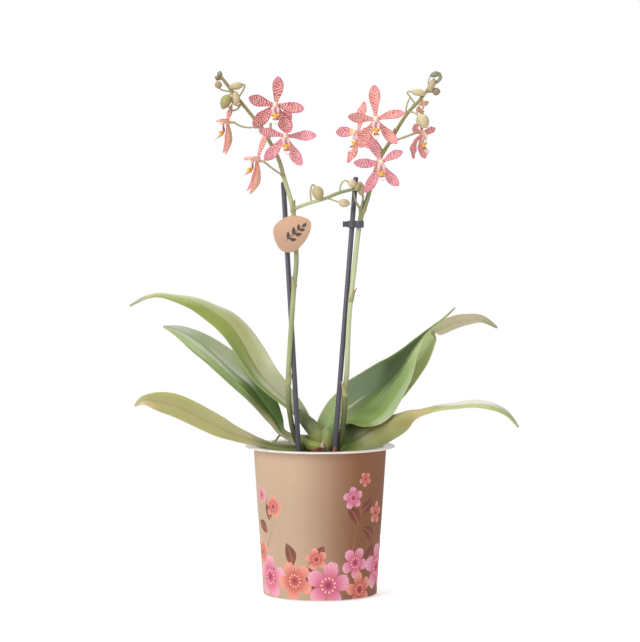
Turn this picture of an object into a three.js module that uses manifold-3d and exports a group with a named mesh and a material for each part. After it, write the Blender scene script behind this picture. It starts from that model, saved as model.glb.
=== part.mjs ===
// Potted moth orchid: a plant with two flower stems in a clear grow pot that stands in a card sleeve.
// Millimetres, +Z up, front of the plant towards -Y, origin in the middle of the pot's foot.

import * as THREE from 'three';
import { mergeVertices } from 'three/addons/utils/BufferGeometryUtils.js';
import Module from 'manifold-3d';

const wasm = await Module();
wasm.setup();

// Driving dimensions

const SEAT_GAP = 0.3;
const ROUND_SEGMENTS = 36;

const POT_HEIGHT = 119.5;
const POT_RIM_RADIUS = 60;
const POT_RIM_THICKNESS = 1.8;
const POT_WALL = 1.2;
const POT_FLOOR = 2;
const DRAIN_HOLES = 6;
const DRAIN_HOLE_RADIUS = 4;
const DRAIN_RING_RADIUS = 30;

const SLEEVE_TOP_RADIUS = 53.2;
const SLEEVE_FOOT_RADIUS = 45.6;
const SLEEVE_THICKNESS = 0.7;
const SLEEVE_FOOT_Z = 1;

const BARK_LEVEL = 110;
const BARK_MOUND = 5;
const BARK_MOUND_RADIUS = 24;
const BARK_RELIEF = 1.5;
const BARK_RINGS = 5;

const STAKE_RADIUS = 2;
const STAKE_SIDES = 8;
const STAKE_FOOT_Z = 30;
const STAKE_TAPER = 1.2;
const LEFT_STAKE_TOP = [-29.1, -15, 330.5];
const LEFT_STAKE_LEAN = -0.0567;
const RIGHT_STAKE_TOP = [28.4, -16, 334.5];
const RIGHT_STAKE_LEAN = 0.077;

const CLIP_HEIGHT = 5.4;
const CLIP_WALL = 1.5;
const CLIP_SLOT = 2.6;
const CLIP_BRIDGE = 2.4;
const CLIP_TAB = 5;
const CLIP_SIDES = 16;
const STAKE_CLIP_Z = 297;
const TAG_CLIP_Z = 289;

const TAG_THICKNESS = 1.2;
const TAG_BEVEL = 0.25;

const LEAF_THICKNESS = 1.8;
const TEPAL_THICKNESS = 0.8;
const LIP_THICKNESS = 0.7;
const LEAF_STEPS = 14;
const LEAF_COLUMNS = 4;
const TEPAL_STEPS = 4;
const LIP_STEPS = 4;
const STEM_STEPS = 26;
const STEM_SIDES = 6;
const NECK_LENGTH = 6;
const NECK_RADIUS = 1.1;

// Colours

const CLEAR_PLASTIC = 0xe9e6e2;
const TAN_CARD = 0xb08a64;
const BARK_BROWN = 0x5b3a2a;
const CROWN_GREEN = 0x8a9a52;
const LEAF_GREEN = 0x6f8746;
const STEM_GREEN = 0x8d9460;
const STAKE_GREY = 0x4a4656;
const PALE_WOOD = 0xe9bd98;
const BLOOM_PINK = 0xd87f88;
const LIP_YELLOW = 0xe0a33c;

// Leaves: rows run from the crown to the tip as x, y, z, half width, face and fold.
// Face is the way the upper side looks: 0 to the front, 90 straight up, 180 to the back.
// Fold is the angle by which each half of the blade rises from the midrib.

const LEAVES = {
  leaf_left_top: [
    [-5, 4, 128.5, 5, 38, 40],
    [-11, 5, 134, 6.5, 38, 40],
    [-22, 7, 147.2, 9.5, 38, 38],
    [-39.4, 10, 163, 14, 38, 38],
    [-50.7, 12, 175.2, 15.8, 38, 37],
    [-66.5, 13.5, 201.8, 14, 38, 24],
    [-75.5, 14, 214, 11.8, 38, 8],
    [-86.8, 13, 223.7, 9.4, 42, 5],
    [-100.2, 12, 231.2, 7.6, 48, 4],
    [-116, 11, 236.8, 5.2, 55, 0],
    [-128.8, 10, 239.4, 3.4, 62, 0],
    [-139.9, 9, 237.6, 2.1, 60, 4],
    [-152.7, 8, 231.2, 0.8, 60, 4],
  ],
  leaf_left_middle: [
    [-9, 3, 123.5, 4, 35, 35],
    [-16.6, 4, 126, 4.4, 35, 35],
    [-27.5, 6, 130.2, 4.8, 35, 32],
    [-34.9, 8, 138.2, 6.4, 35, 25],
    [-43.8, 11, 149.3, 11, 32, 22],
    [-56.6, 14.5, 165.7, 14, 30, 20],
    [-71.1, 17, 178.2, 14.2, 30, 22],
    [-84.7, 19, 190.5, 11.8, 30, 10],
    [-98.3, 20, 201.5, 10.6, 38, -6],
    [-113.2, 21, 209.8, 6.3, 40, -8],
    [-126.5, 21, 213.6, 0.8, 40, -4],
  ],
  leaf_left_low: [
    [-9, -2, 116.4, 3.2, 30, 20],
    [-24.1, -7, 117.4, 3.2, 30, 20],
    [-39.2, -13, 120.2, 3.3, 30, 18],
    [-49.4, -19, 124, 3.8, 28, 14],
    [-56.6, -23, 126.6, 4.8, 26, 12],
    [-69, -28, 131.7, 6.8, 26, 10],
    [-82, -32, 138.2, 9, 26, 8],
    [-109.4, -37, 152.4, 9.7, 26, 6],
    [-126, -39, 157.4, 8.5, 28, 6],
    [-138.5, -40, 158.9, 4.2, 30, 4],
    [-145.9, -40, 154.5, 0.8, 30, 4],
  ],
  leaf_right_big: [
    [5, 5, 128.5, 8, 40, 40],
    [9, 6, 131.5, 12, 38, 38],
    [19.8, 8, 138.5, 18, 36, 36],
    [30.2, 9, 146.3, 23, 28, 28],
    [42.8, 9.5, 157.1, 22.6, 21, 21],
    [60.1, 10, 176.5, 15.6, 24, 24],
    [72.9, 11, 193.7, 6.8, 20, 18],
    [85.8, 12.5, 208.5, 3, 20, 10],
    [98, 13.5, 219, 1.4, 24, 6],
    [108.5, 14.5, 229.3, 0.7, 24, 6],
  ],
  leaf_right_behind: [
    [4, 7.5, 122.5, 3.2, 15, 30],
    [24, 18, 136.5, 6.6, 15, 26],
    [46.5, 22, 150, 10.6, 15, 18],
    [59.8, 24, 164, 12.3, 17, 12],
    [77, 26, 188, 12.5, 22, 8],
    [87.5, 27, 201.5, 10, 42, 6],
    [92.5, 27, 207.5, 8, 92, 4],
    [97.5, 26.5, 211.8, 7.5, 128, 4],
    [108, 26, 216.2, 7.8, 132, 4],
    [119.5, 25, 218.8, 7, 132, 4],
    [130.8, 24, 219.2, 5, 130, 4],
    [143.2, 23, 212.8, 0.8, 126, 4],
  ],
  leaf_right_low: [
    [9, 0, 118.6, 4.4, 30, 30],
    [23.7, 0.5, 122.8, 7.6, 26, 26],
    [40.4, 0.5, 127.4, 10, 20, 18],
    [56.3, -3, 134, 10.6, 22, 12],
    [68.9, -9, 142.5, 8.8, 38, 8],
    [79.9, -14, 148.5, 6.6, 64, 6],
    [93.3, -18, 152.3, 5.9, 76, 4],
    [106.7, -21, 154.8, 6.3, 77, 4],
    [122.5, -24, 156.5, 7, 69, 4],
    [135.8, -26, 154.3, 6, 64, 4],
    [147.6, -27, 147.7, 4, 60, 4],
    [157, -28, 137.9, 0.8, 58, 4],
  ],
};

// Flower stems: rows of x, y, z and radius, from the crown to the tip.

const LEFT_STEM = [
  [-10.5, -8, 122.5, 2.2],
  [-20.5, -11, 133, 2.2],
  [-23.6, -13, 157, 2.1],
  [-25, -16, 181, 2],
  [-23, -19.8, 213.2, 2],
  [-20.8, -21.5, 245, 1.9],
  [-18.8, -22, 267.2, 1.9],
  [-19.6, -22, 288.6, 1.9],
  [-21.6, -22, 310, 1.9],
  [-27.5, -21.5, 330.6, 1.7],
  [-33.5, -20.5, 350.4, 1.6],
  [-44.2, -20, 369.4, 1.5],
  [-53.3, -20, 382.1, 1.4],
  [-66, -20, 398.4, 1.3],
  [-78, -20, 411, 1.5],
];

const LEFT_BRANCH = [
  [-21.4, -22, 309, 1.5],
  [-10.5, -23, 313.1, 1.3],
  [3, -24, 317.1, 1.2],
  [15.6, -24.5, 322.1, 1.1],
  [26.5, -25, 324.8, 0.9],
];

const RIGHT_STEM = [
  [9, -8.5, 121, 2.2],
  [16.5, -13, 127, 2.2],
  [19.2, -15, 145.2, 2.1],
  [20, -16.5, 165.2, 2.1],
  [21.4, -18, 181.2, 2],
  [22.2, -19.4, 205, 1.9],
  [23.6, -19.6, 228.8, 1.9],
  [27, -19, 260.6, 1.9],
  [30.8, -17, 297.2, 1.8],
  [36.3, -18, 316.3, 1.7],
  [45.4, -18, 344, 1.6],
  [54.9, -18, 361.7, 1.5],
  [67.8, -18, 382.9, 1.4],
  [79.2, -18, 395.6, 1.3],
  [89.5, -18, 409.6, 1],
];

const RIGHT_BRANCH = [
  [31.4, -17.4, 300.5, 1.2],
  [31.6, -19.5, 308.5, 1.1],
  [28.4, -22, 315, 0.8],
  [26.6, -23.2, 322, 0.7],
];

// Bracts: where along the stem (0 to 1) and to which side (degrees round Z, 0 is +X).

const LEFT_BRACTS = [[0.2, -20], [0.366, 200], [0.565, -30], [0.79, 190]];
const RIGHT_BRACTS = [[0.215, 10], [0.46, -10], [0.61, 160], [0.8, 200]];

// Buds: middle, way the tip points, length and width, and the route of the pedicel to its stem.

const LEFT_BUDS = [
  { at: [-79, -20, 414.8], tip: [-0.1, 0, 1], size: [5.6, 4.4], stalk: [[-78, -20, 411]] },
  { at: [-81.6, -21, 411.6], tip: [-1, 0, 0.2], size: [4.4, 3.8], stalk: [[-77.5, -20, 410.4]] },
  {
    at: [-80.4, -23, 406.4], tip: [-0.5, 0, 1], size: [6.4, 5.6],
    stalk: [[-77, -22, 402.6], [-69.6, -20, 402.4]],
  },
  {
    at: [-66.2, -26, 406.4], tip: [-1, 0, -0.15], size: [10, 6.2],
    stalk: [[-59.2, -25, 407], [-59.4, -22, 402], [-61.5, -20, 393.5]],
  },
  {
    at: [-66.2, -26, 395.6], tip: [0.1, 0, 1], size: [10.4, 7],
    stalk: [[-66, -24.5, 386.5], [-57.6, -20, 388.4]],
  },
  {
    at: [-73.8, -30, 394], tip: [-0.3, 0, -1], size: [10.6, 8.4],
    stalk: [[-70.2, -27, 401], [-66.8, -20, 399.4]],
  },
];

const BRANCH_BUDS = [
  {
    at: [-1.6, -24, 321.4], tip: [0.25, 0, -1], size: [10, 7.8],
    stalk: [[-6, -24, 328.2], [-7.6, -23.6, 322], [-6.6, -23.4, 314.4]],
  },
  {
    at: [19.4, -26, 313.8], tip: [1, 0, -0.1], size: [8.6, 6.4],
    stalk: [[12.4, -25, 315.4], [5, -24.1, 317.8]],
  },
  {
    at: [26, -26.5, 329], tip: [1, 0, -0.3], size: [7.4, 6.2],
    stalk: [[19.6, -26, 331.6], [16.4, -25, 328], [15.4, -24.5, 322]],
  },
  { at: [28.6, -27.5, 324.6], tip: [0.4, 0, 1], size: [5, 4], stalk: [[26.2, -25, 324.7]] },
];

const RIGHT_BUDS = [
  {
    at: [90.8, -20, 415.4], tip: [-1, 0, 0.1], size: [6.4, 4.4],
    stalk: [[94, -19, 412.4], [89, -18, 408.9]],
  },
  { at: [88.6, -21, 406.4], tip: [0.3, 0, 1], size: [8.8, 5], stalk: [[84.6, -18, 402.4]] },
  { at: [92.4, -19, 402], tip: [1, 0, 0.2], size: [6, 5.6], stalk: [[84, -18, 401.8]] },
  {
    at: [77.8, -22, 400.6], tip: [1, 0, -0.1], size: [10.6, 5.8],
    stalk: [[70.4, -21, 400.6], [75, -18, 391]],
  },
  {
    at: [80.2, -47, 378.1], tip: [0.8, 0, -0.9], size: [11.6, 9.2],
    stalk: [[75.6, -40, 384.4], [68.6, -18, 383.8]],
  },
];

const BRANCH_TIP_BUDS = [
  {
    at: [32.2, -24, 325.6], tip: [-0.25, 0, 1], size: [9.6, 4.6],
    stalk: [[33.6, -21.8, 317], [31.6, -19.4, 308.2]],
  },
];

const LOOSE_PEDICELS = [
  [[67.5, -18, 382.5, 0.8], [68.6, -19, 391, 0.7], [71, -20, 397, 0.6]],
  [[85.6, -18, 404.5, 0.6], [85.8, -19, 411, 0.5], [88.6, -20, 415.2, 0.5]],
];

// Blooms: middle, turn to the right and nod upwards in degrees, size, and the stem's share where the
// pedicel leaves it. A fan holds the dorsal sepal, right and left petal, right and left lateral sepal,
// each as the angle from the flower's right, length and half width.

const BLOOMS = [
  {
    at: [-34.7, -50, 390.5], turn: 0, nod: 4, size: 1, stem: 'left', root: 0.8,
    fan: [[85, 21.6, 4.5], [-9, 21.4, 4.5], [166, 20, 4.4], [-62, 23, 5.4], [-131, 22, 5.8]],
  },
  {
    at: [-26.9, -42, 366.5], turn: 4, nod: 6, size: 1, stem: 'left', root: 0.735,
    fan: [[86, 22, 4.2], [-1, 22.2, 3.9], [172, 20.4, 3.5], [-62, 25, 4.3], [-131, 24.2, 4.5]],
  },
  {
    at: [-73.1, -22, 377.4], turn: -84, nod: 2, size: 1, stem: 'left', root: 0.815, sag: 4, petalFace: 62,
    fan: [[90, 14.8, 4], [4, 21, 4.2], [176, 21, 4.2], [-57, 25.6, 4.8], [-123, 25.6, 4.8]],
  },
  {
    at: [-49.4, -34, 347.6], turn: -80, nod: 11, size: 1, stem: 'left', root: 0.66, sag: 6, petalFace: 62,
    fan: [[90, 22, 4.2], [2, 21, 4.2], [178, 21, 4.2], [-59, 26, 4.8], [-121, 26, 4.8]],
  },
  {
    at: [43.4, -54, 379.4], turn: 2, nod: 0, size: 1, stem: 'right', root: 0.79,
    fan: [[92, 25.6, 4.3], [12, 21.4, 3.6], [175, 20.8, 3.9], [-49, 23.6, 3.9], [-120, 24, 5.4]],
  },
  {
    at: [30.3, -24, 369.5], turn: -46, nod: 2, size: 0.98, stem: 'right', root: 0.745,
    fan: [[87, 24, 4.2], [4, 17, 4], [179, 18.2, 4.4], [-46, 16, 4.2], [-114, 25, 5]],
  },
  {
    at: [47.6, -46, 345.6], turn: 4, nod: 8, size: 1, stem: 'right', root: 0.68,
    fan: [[110, 20, 4.2], [26, 17.2, 3.4], [182, 20.6, 4], [-53, 21.4, 4], [-119, 25.6, 4.2]],
  },
  {
    at: [79.8, -38, 368.4], turn: 46, nod: -12, size: 0.9, stem: 'right', root: 0.785, sag: 4,
    fan: [[90, 15, 3.8], [38, 13, 4], [170, 19, 4], [-68, 22.4, 4.6], [-112, 22.4, 4.4]],
  },
  {
    at: [78.8, -3.6, 393.4], turn: 74, nod: 30, size: 0.62, stem: 'right', root: 0.895, sag: 3,
    fan: [[90, 15, 4], [24, 13, 4], [156, 13, 4], [-62, 17, 4.4], [-118, 17, 4.4]],
  },
];

// How far each tepal's tip lies back and its middle bows back
const TEPAL_BACKS = [[3.5, 0.5], [-7, 0.5], [-7, 0.5], [-2, 4], [-2, 4]];
const PETALS = [1, 2];

const TEPAL_OUTLINE = [[0, 0.36], [0.26, 0.66], [0.54, 1], [0.82, 0.74], [1, 0.1]];
const TEPAL_ROOT = 1.2;
const TEPAL_FOLD = 12;

// Tag outline in its own plane, seen from the front, from the top right clockwise.

const TAG_MIDDLE = [-21, -26.6, 289.5];
const TAG_CORNERS = [
  [13.6, 9.6], [12, -1], [1, -13.6], [-9, -13.4], [-15.2, -3], [-15, 6], [-4, 14], [7, 13.6],
];
const TAG_OUTLINE_STEPS = 28;

// Small vector and number helpers

const vector = (row) => new THREE.Vector3(row[0], row[1], row[2]);
const radians = THREE.MathUtils.degToRad;

// Uniform Catmull-Rom through rows of numbers, t from 0 to 1.
function along(rows, t) {
  const last = rows.length - 1;
  const place = Math.min(t * last, last - 1e-6);
  const start = Math.floor(place);
  const f = place - start;
  const row = (k) => rows[Math.max(0, Math.min(last, k))];
  return rows[start].map((_, c) => {
    const [a, b, d, e] = [row(start - 1)[c], row(start)[c], row(start + 1)[c], row(start + 2)[c]];
    return b + 0.5 * f * (d - a + f * (2 * a - 5 * b + 4 * d - e + f * (3 * (b - d) + e - a)));
  });
}

function tangentAt(rows, t) {
  const step = 0.004;
  const ahead = vector(along(rows, Math.min(1, t + step)));
  return ahead.sub(vector(along(rows, Math.max(0, t - step)))).normalize();
}

// Solids from grids of points

function meshOf(points, faces) {
  const geometry = new THREE.BufferGeometry();
  const numbers = points.flatMap((point) => [point.x, point.y, point.z]);
  geometry.setAttribute('position', new THREE.Float32BufferAttribute(numbers, 3));
  geometry.setIndex(faces.flat());
  return geometry;
}

// A round limb through rows of x, y, z and radius, closed with flat ends.
function limb(rows, steps, sides, grow = 0) {
  const points = [];
  const faces = [];
  const reference = new THREE.Vector3(0.31, -0.9, 0.3);
  for (let i = 0; i <= steps; i += 1) {
    const t = i / steps;
    const row = along(rows, t);
    const tangent = tangentAt(rows, t);
    const first = reference.clone().addScaledVector(tangent, -reference.dot(tangent)).normalize();
    const second = tangent.clone().cross(first);
    reference.copy(first);
    for (let j = 0; j < sides; j += 1) {
      const angle = (2 * Math.PI * j) / sides;
      const reach = row[3] + grow;
      points.push(vector(row)
        .addScaledVector(first, reach * Math.cos(angle))
        .addScaledVector(second, reach * Math.sin(angle)));
    }
  }
  for (let i = 0; i < steps; i += 1) {
    for (let j = 0; j < sides; j += 1) {
      const a = i * sides + j;
      const b = i * sides + ((j + 1) % sides);
      faces.push([a, b, a + sides], [b, b + sides, a + sides]);
    }
  }
  for (let j = 1; j < sides - 1; j += 1) {
    faces.push([0, j + 1, j]);
    faces.push([steps * sides, steps * sides + j, steps * sides + j + 1]);
  }
  return meshOf(points, faces);
}

// A thin blade through rows of x, y, z, half width, face and fold, split alike on both sides.
function blade(rows, thickness, steps, columns, grow = 0) {
  const upper = [];
  const lower = [];
  for (let i = 0; i <= steps; i += 1) {
    const t = i / steps;
    const [x, y, z, half, face, fold] = along(rows, t);
    const tangent = tangentAt(rows, t);
    const front = new THREE.Vector3(0, -1, 0).addScaledVector(tangent, tangent.y).normalize();
    const rise = tangent.clone().cross(front);
    if (rise.z < 0) rise.negate();
    const normal = front.clone().multiplyScalar(Math.cos(radians(face)));
    normal.addScaledVector(rise, Math.sin(radians(face)));
    const side = tangent.clone().cross(normal);
    const width = half + grow;
    for (let j = 0; j <= columns; j += 1) {
      const v = (2 * j) / columns - 1;
      const lift = Math.abs(v) ** 1.5 * Math.sin(radians(fold));
      const middle = new THREE.Vector3(x, y, z)
        .addScaledVector(side, v * width * Math.cos(radians(fold)))
        .addScaledVector(normal, lift * width);
      const slope = Math.atan(1.5 * Math.sqrt(Math.abs(v)) * Math.tan(radians(fold))) * Math.sign(v);
      const skin = normal.clone().multiplyScalar(Math.cos(slope)).addScaledVector(side, -Math.sin(slope));
      const depth = (thickness * (1 - 0.45 * v * v)) / 2 + grow;
      upper.push(middle.clone().addScaledVector(skin, depth));
      lower.push(middle.clone().addScaledVector(skin, -depth));
    }
  }
  const across = columns + 1;
  const below = upper.length;
  const faces = [];
  for (let i = 0; i < steps; i += 1) {
    for (let j = 0; j < columns; j += 1) {
      const a = i * across + j;
      const [b, c, d] = [a + 1, a + across, a + across + 1];
      faces.push([a, b, c], [b, d, c]);
      faces.push([below + a, below + c, below + b], [below + b, below + c, below + d]);
    }
    const left = i * across;
    const right = left + columns;
    faces.push([left, left + across, below + left]);
    faces.push([below + left, left + across, below + left + across]);
    faces.push([right, below + right, right + across]);
    faces.push([below + right, below + right + across, right + across]);
  }
  const tip = steps * across;
  for (let j = 0; j < columns; j += 1) {
    faces.push([j, below + j, j + 1], [below + j, below + j + 1, j + 1]);
    faces.push([tip + j, tip + j + 1, below + tip + j]);
    faces.push([below + tip + j, tip + j + 1, below + tip + j + 1]);
  }
  return meshOf([...upper, ...lower], faces);
}

// Joining and cutting

function solid(geometry) {
  const plain = geometry.clone();
  plain.deleteAttribute('normal');
  plain.deleteAttribute('uv');
  const merged = mergeVertices(plain, 1e-4);
  const vertProperties = new Float32Array(merged.attributes.position.array);
  const triVerts = new Uint32Array(merged.index.array);
  return new wasm.Manifold(new wasm.Mesh({ numProp: 3, vertProperties, triVerts }));
}

function geometryOf(body) {
  const mesh = body.getMesh();
  const geometry = new THREE.BufferGeometry();
  geometry.setAttribute('position', new THREE.BufferAttribute(new Float32Array(mesh.vertProperties), 3));
  geometry.setIndex(new THREE.BufferAttribute(new Uint32Array(mesh.triVerts), 1));
  return geometry;
}

const joined = (geometries) => geometries.map(solid).reduce((all, next) => all.add(next));
const cut = (body, tools) => tools.reduce((left, tool) => left.subtract(tool), body);

const plant = new THREE.Group();

function place(name, geometry, colour, roughness) {
  const flat = geometry.index ? geometry.toNonIndexed() : geometry;
  flat.computeVertexNormals();
  const material = new THREE.MeshStandardMaterial({ color: colour, roughness, metalness: 0 });
  const mesh = new THREE.Mesh(flat, material);
  mesh.name = name;
  plant.add(mesh);
}

// Pot and sleeve

const rimUnderside = POT_HEIGHT - POT_RIM_THICKNESS;
const sleeveTaper = (SLEEVE_TOP_RADIUS - SLEEVE_FOOT_RADIUS) / (rimUnderside - SLEEVE_FOOT_Z);
const sleeveRadius = (z) => SLEEVE_FOOT_RADIUS + sleeveTaper * (z - SLEEVE_FOOT_Z);
const potRadius = (z) => sleeveRadius(z) - SLEEVE_THICKNESS - SEAT_GAP;
const potInside = (z) => potRadius(z) - POT_WALL;

function lathe(profile) {
  const points = profile.map(([radius, z]) => new THREE.Vector2(radius, z));
  return new THREE.LatheGeometry(points, ROUND_SEGMENTS).rotateX(Math.PI / 2);
}

function growPot() {
  const shell = solid(lathe([
    [0, 0],
    [potRadius(0), 0],
    [potRadius(rimUnderside), rimUnderside],
    [POT_RIM_RADIUS - 0.6, rimUnderside],
    [POT_RIM_RADIUS, rimUnderside + 0.6],
    [POT_RIM_RADIUS, POT_HEIGHT - 0.5],
    [POT_RIM_RADIUS - 0.5, POT_HEIGHT],
    [potInside(POT_HEIGHT), POT_HEIGHT],
    [potInside(POT_FLOOR), POT_FLOOR],
    [0, POT_FLOOR],
  ]));
  const holes = [];
  for (let k = 0; k < DRAIN_HOLES; k += 1) {
    const angle = (2 * Math.PI * (k + 0.5)) / DRAIN_HOLES;
    const hole = new THREE.CylinderGeometry(DRAIN_HOLE_RADIUS, DRAIN_HOLE_RADIUS, 3 * POT_FLOOR, 8);
    hole.rotateX(Math.PI / 2);
    hole.translate(DRAIN_RING_RADIUS * Math.cos(angle), DRAIN_RING_RADIUS * Math.sin(angle), POT_FLOOR / 2);
    holes.push(solid(hole));
  }
  return cut(shell, holes);
}

function potSleeve() {
  const top = rimUnderside - SEAT_GAP;
  return lathe([
    [sleeveRadius(SLEEVE_FOOT_Z) - SLEEVE_THICKNESS, SLEEVE_FOOT_Z],
    [sleeveRadius(SLEEVE_FOOT_Z), SLEEVE_FOOT_Z],
    [sleeveRadius(top), top],
    [sleeveRadius(top) - SLEEVE_THICKNESS, top],
    [sleeveRadius(SLEEVE_FOOT_Z) - SLEEVE_THICKNESS, SLEEVE_FOOT_Z],
  ]);
}

// Bark: a plug that fills the pot, with a mounded and uneven top

function barkHeight(x, y) {
  const reach = Math.hypot(x, y);
  const mound = BARK_MOUND * Math.exp(-((reach / BARK_MOUND_RADIUS) ** 2));
  const coarse = Math.sin(0.46 * x + 1.3) * Math.sin(0.41 * y + 0.4);
  const fine = Math.sin(0.83 * x - 0.62 * y) * Math.cos(0.71 * x + 0.9 * y + 0.6);
  return BARK_LEVEL + mound + BARK_RELIEF * (coarse + 0.6 * fine);
}

function barkPlug() {
  const foot = POT_FLOOR + SEAT_GAP;
  const points = [new THREE.Vector3(0, 0, barkHeight(0, 0))];
  const faces = [];
  for (let ring = 1; ring <= BARK_RINGS + 1; ring += 1) {
    const onTop = ring <= BARK_RINGS;
    const edgeRadius = potInside(onTop ? BARK_LEVEL - 2 : foot) - SEAT_GAP;
    const radius = edgeRadius * (onTop ? ring / BARK_RINGS : 1);
    for (let k = 0; k < ROUND_SEGMENTS; k += 1) {
      const angle = (2 * Math.PI * k) / ROUND_SEGMENTS;
      const [x, y] = [radius * Math.cos(angle), radius * Math.sin(angle)];
      points.push(new THREE.Vector3(x, y, onTop ? barkHeight(x, y) : foot));
    }
  }
  points.push(new THREE.Vector3(0, 0, foot));
  const middle = points.length - 1;
  for (let k = 0; k < ROUND_SEGMENTS; k += 1) {
    const next = (k + 1) % ROUND_SEGMENTS;
    faces.push([0, 1 + k, 1 + next]);
    for (let ring = 0; ring < BARK_RINGS; ring += 1) {
      const a = 1 + ring * ROUND_SEGMENTS + k;
      const b = 1 + ring * ROUND_SEGMENTS + next;
      faces.push([a, a + ROUND_SEGMENTS, b], [b, a + ROUND_SEGMENTS, b + ROUND_SEGMENTS]);
    }
    const rim = 1 + BARK_RINGS * ROUND_SEGMENTS;
    faces.push([middle, rim + next, rim + k]);
  }
  return solid(meshOf(points, faces));
}

// Stakes

function stakeRows(top, lean, grow = 0) {
  const [x, y, z] = top;
  const radius = STAKE_RADIUS + grow;
  const foot = [x - lean * (z - STAKE_FOOT_Z), y, STAKE_FOOT_Z, radius];
  const shoulder = [x - lean * STAKE_TAPER, y, z - STAKE_TAPER, radius];
  return [foot, shoulder];
}

function stake(top, lean, grow = 0) {
  const [foot, shoulder] = stakeRows(top, lean, grow);
  const radius = shoulder[3];
  const sunk = [shoulder[0], shoulder[1], shoulder[2] - 0.2, radius - 0.02];
  const tip = [...top, radius - 0.8];
  return joined([limb([foot, shoulder], 1, STAKE_SIDES), limb([sunk, tip], 1, STAKE_SIDES)]);
}

// Crown: a short stem wrapped in leaf bases, with the roots below it

const CROWN_LOBES = [
  { at: [0, 1, 119.5], size: [9, 8, 12], lean: 0 },
  { at: [-5.5, -1.5, 124.5], size: [6.5, 6, 11], lean: -36 },
  { at: [5, -1.5, 124], size: [6.5, 6, 10.5], lean: 34 },
  { at: [-0.5, 2.5, 130], size: [5.5, 5, 8.5], lean: -6 },
];

const ROOTS = [
  [[0, 3, 114, 3], [10, 16, 106, 2.6], [20, 27, 88, 2.4], [17, 31, 62, 2]],
  [[-2, 3, 114, 3], [-14, 14, 105, 2.6], [-26, 20, 85, 2.4], [-28, 22, 58, 2]],
  [[3, -2, 113, 3], [14, -2, 104, 2.6], [30, -8, 90, 2.4], [34, -12, 66, 2]],
  [[-1, -4, 113, 3], [-3, -16, 105, 2.6], [-2, -28, 86, 2.4], [4, -30, 60, 2]],
];
const AERIAL_ROOT = [
  [-5, 7, 119, 1.4],
  [-20, 13, 125, 1.3],
  [-31, 11, 127.6, 1.2],
  [-38, 7, 124, 1.1],
  [-42, 5, 112, 1],
];

function crownBody(grow = 0) {
  const lobes = CROWN_LOBES.map(({ at, size, lean }) => {
    const lobe = new THREE.SphereGeometry(1, 8, 6);
    lobe.rotateX(Math.PI / 2);
    lobe.scale(...size.map((reach) => reach + grow));
    lobe.rotateY(radians(lean));
    return lobe.translate(...at);
  });
  const roots = ROOTS.map((rows) => limb(rows, 4, 4, grow));
  return joined([...lobes, ...roots, limb(AERIAL_ROOT, 6, 4, grow)]);
}

// Flower stems, buds and bracts

const BUD_PROFILE = [[0, 0.4], [0.32, 1], [0.68, 0.9], [1, 0.18]];

function bud({ at, tip, size, stalk }) {
  const [length, width] = size;
  const way = vector(tip).normalize();
  const rows = BUD_PROFILE.map(([s, w]) => {
    const point = vector(at).addScaledVector(way, (s - 0.5) * length);
    return [point.x, point.y, point.z, (w * width) / 2];
  });
  const base = vector(at).addScaledVector(way, -0.42 * length);
  const route = [[base.x, base.y, base.z, 0.8], ...stalk.map((row) => [...row, 0.8])];
  return [limb(rows, 3, 5), limb(route, 2 * stalk.length, 4)];
}

function bract(stem, [share, bearing]) {
  const [x, y, z, radius] = along(stem, share);
  const way = tangentAt(stem, share);
  const out = new THREE.Vector3(Math.cos(radians(bearing)), Math.sin(radians(bearing)), 0);
  out.addScaledVector(way, -out.dot(way)).normalize();
  const middle = new THREE.Vector3(x, y, z);
  const spot = (up, off, r) => {
    const point = middle.clone().addScaledVector(way, up).addScaledVector(out, off);
    return [point.x, point.y, point.z, r];
  };
  const node = [spot(-1.6, 0, radius * 0.9), spot(0, 0.1, radius + 0.55), spot(1.6, 0, radius * 0.9)];
  const scale = [spot(0, 0.5, radius), spot(4, 1, radius * 0.85), spot(8.4, radius + 1, 0.35)];
  return [limb(node, 2, 6), limb(scale, 2, 4)];
}

// Bloom frame: looks to -Y, then nods and turns to its place
function bloomPose({ at, turn, nod, size }) {
  const spin = new THREE.Euler(-radians(nod), 0, radians(turn), 'ZXY');
  const matrix = new THREE.Matrix4().makeRotationFromEuler(spin);
  matrix.scale(new THREE.Vector3(size, size, size));
  return matrix.setPosition(...at);
}

function tepalRows([angle, length, half], [back, bow], face) {
  const [c, s] = [Math.cos(radians(angle)), Math.sin(radians(angle))];
  return TEPAL_OUTLINE.map(([share, wide]) => {
    const reach = TEPAL_ROOT + share * length;
    const depth = back * share ** 1.3 + bow * Math.sin(Math.PI * share);
    return [reach * c, depth, reach * s, half * wide, face, TEPAL_FOLD * Math.sin(Math.PI * share)];
  });
}

function bloomBody(bloom) {
  const tepals = bloom.fan.map((tepal, k) => {
    const face = PETALS.includes(k) && bloom.petalFace ? bloom.petalFace : 0;
    return blade(tepalRows(tepal, TEPAL_BACKS[k], face), TEPAL_THICKNESS, TEPAL_STEPS, 2);
  });
  const column = limb([[0, 1, 0.4, 2.2], [0, -2.4, -0.2, 1.8], [0, -5.8, -2.6, 1.2]], 2, 5);
  const foot = limb([[0, 0, -0.5, 1.7], [0, -2.4, -5.2, 1.1]], 1, 4);
  const neck = limb([[0, 0, 0, 1.7], [0, NECK_LENGTH, 0, NECK_RADIUS]], 1, 4);
  const body = joined([...tepals, column, foot, neck]);
  return geometryOf(body).applyMatrix4(bloomPose(bloom));
}

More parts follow.
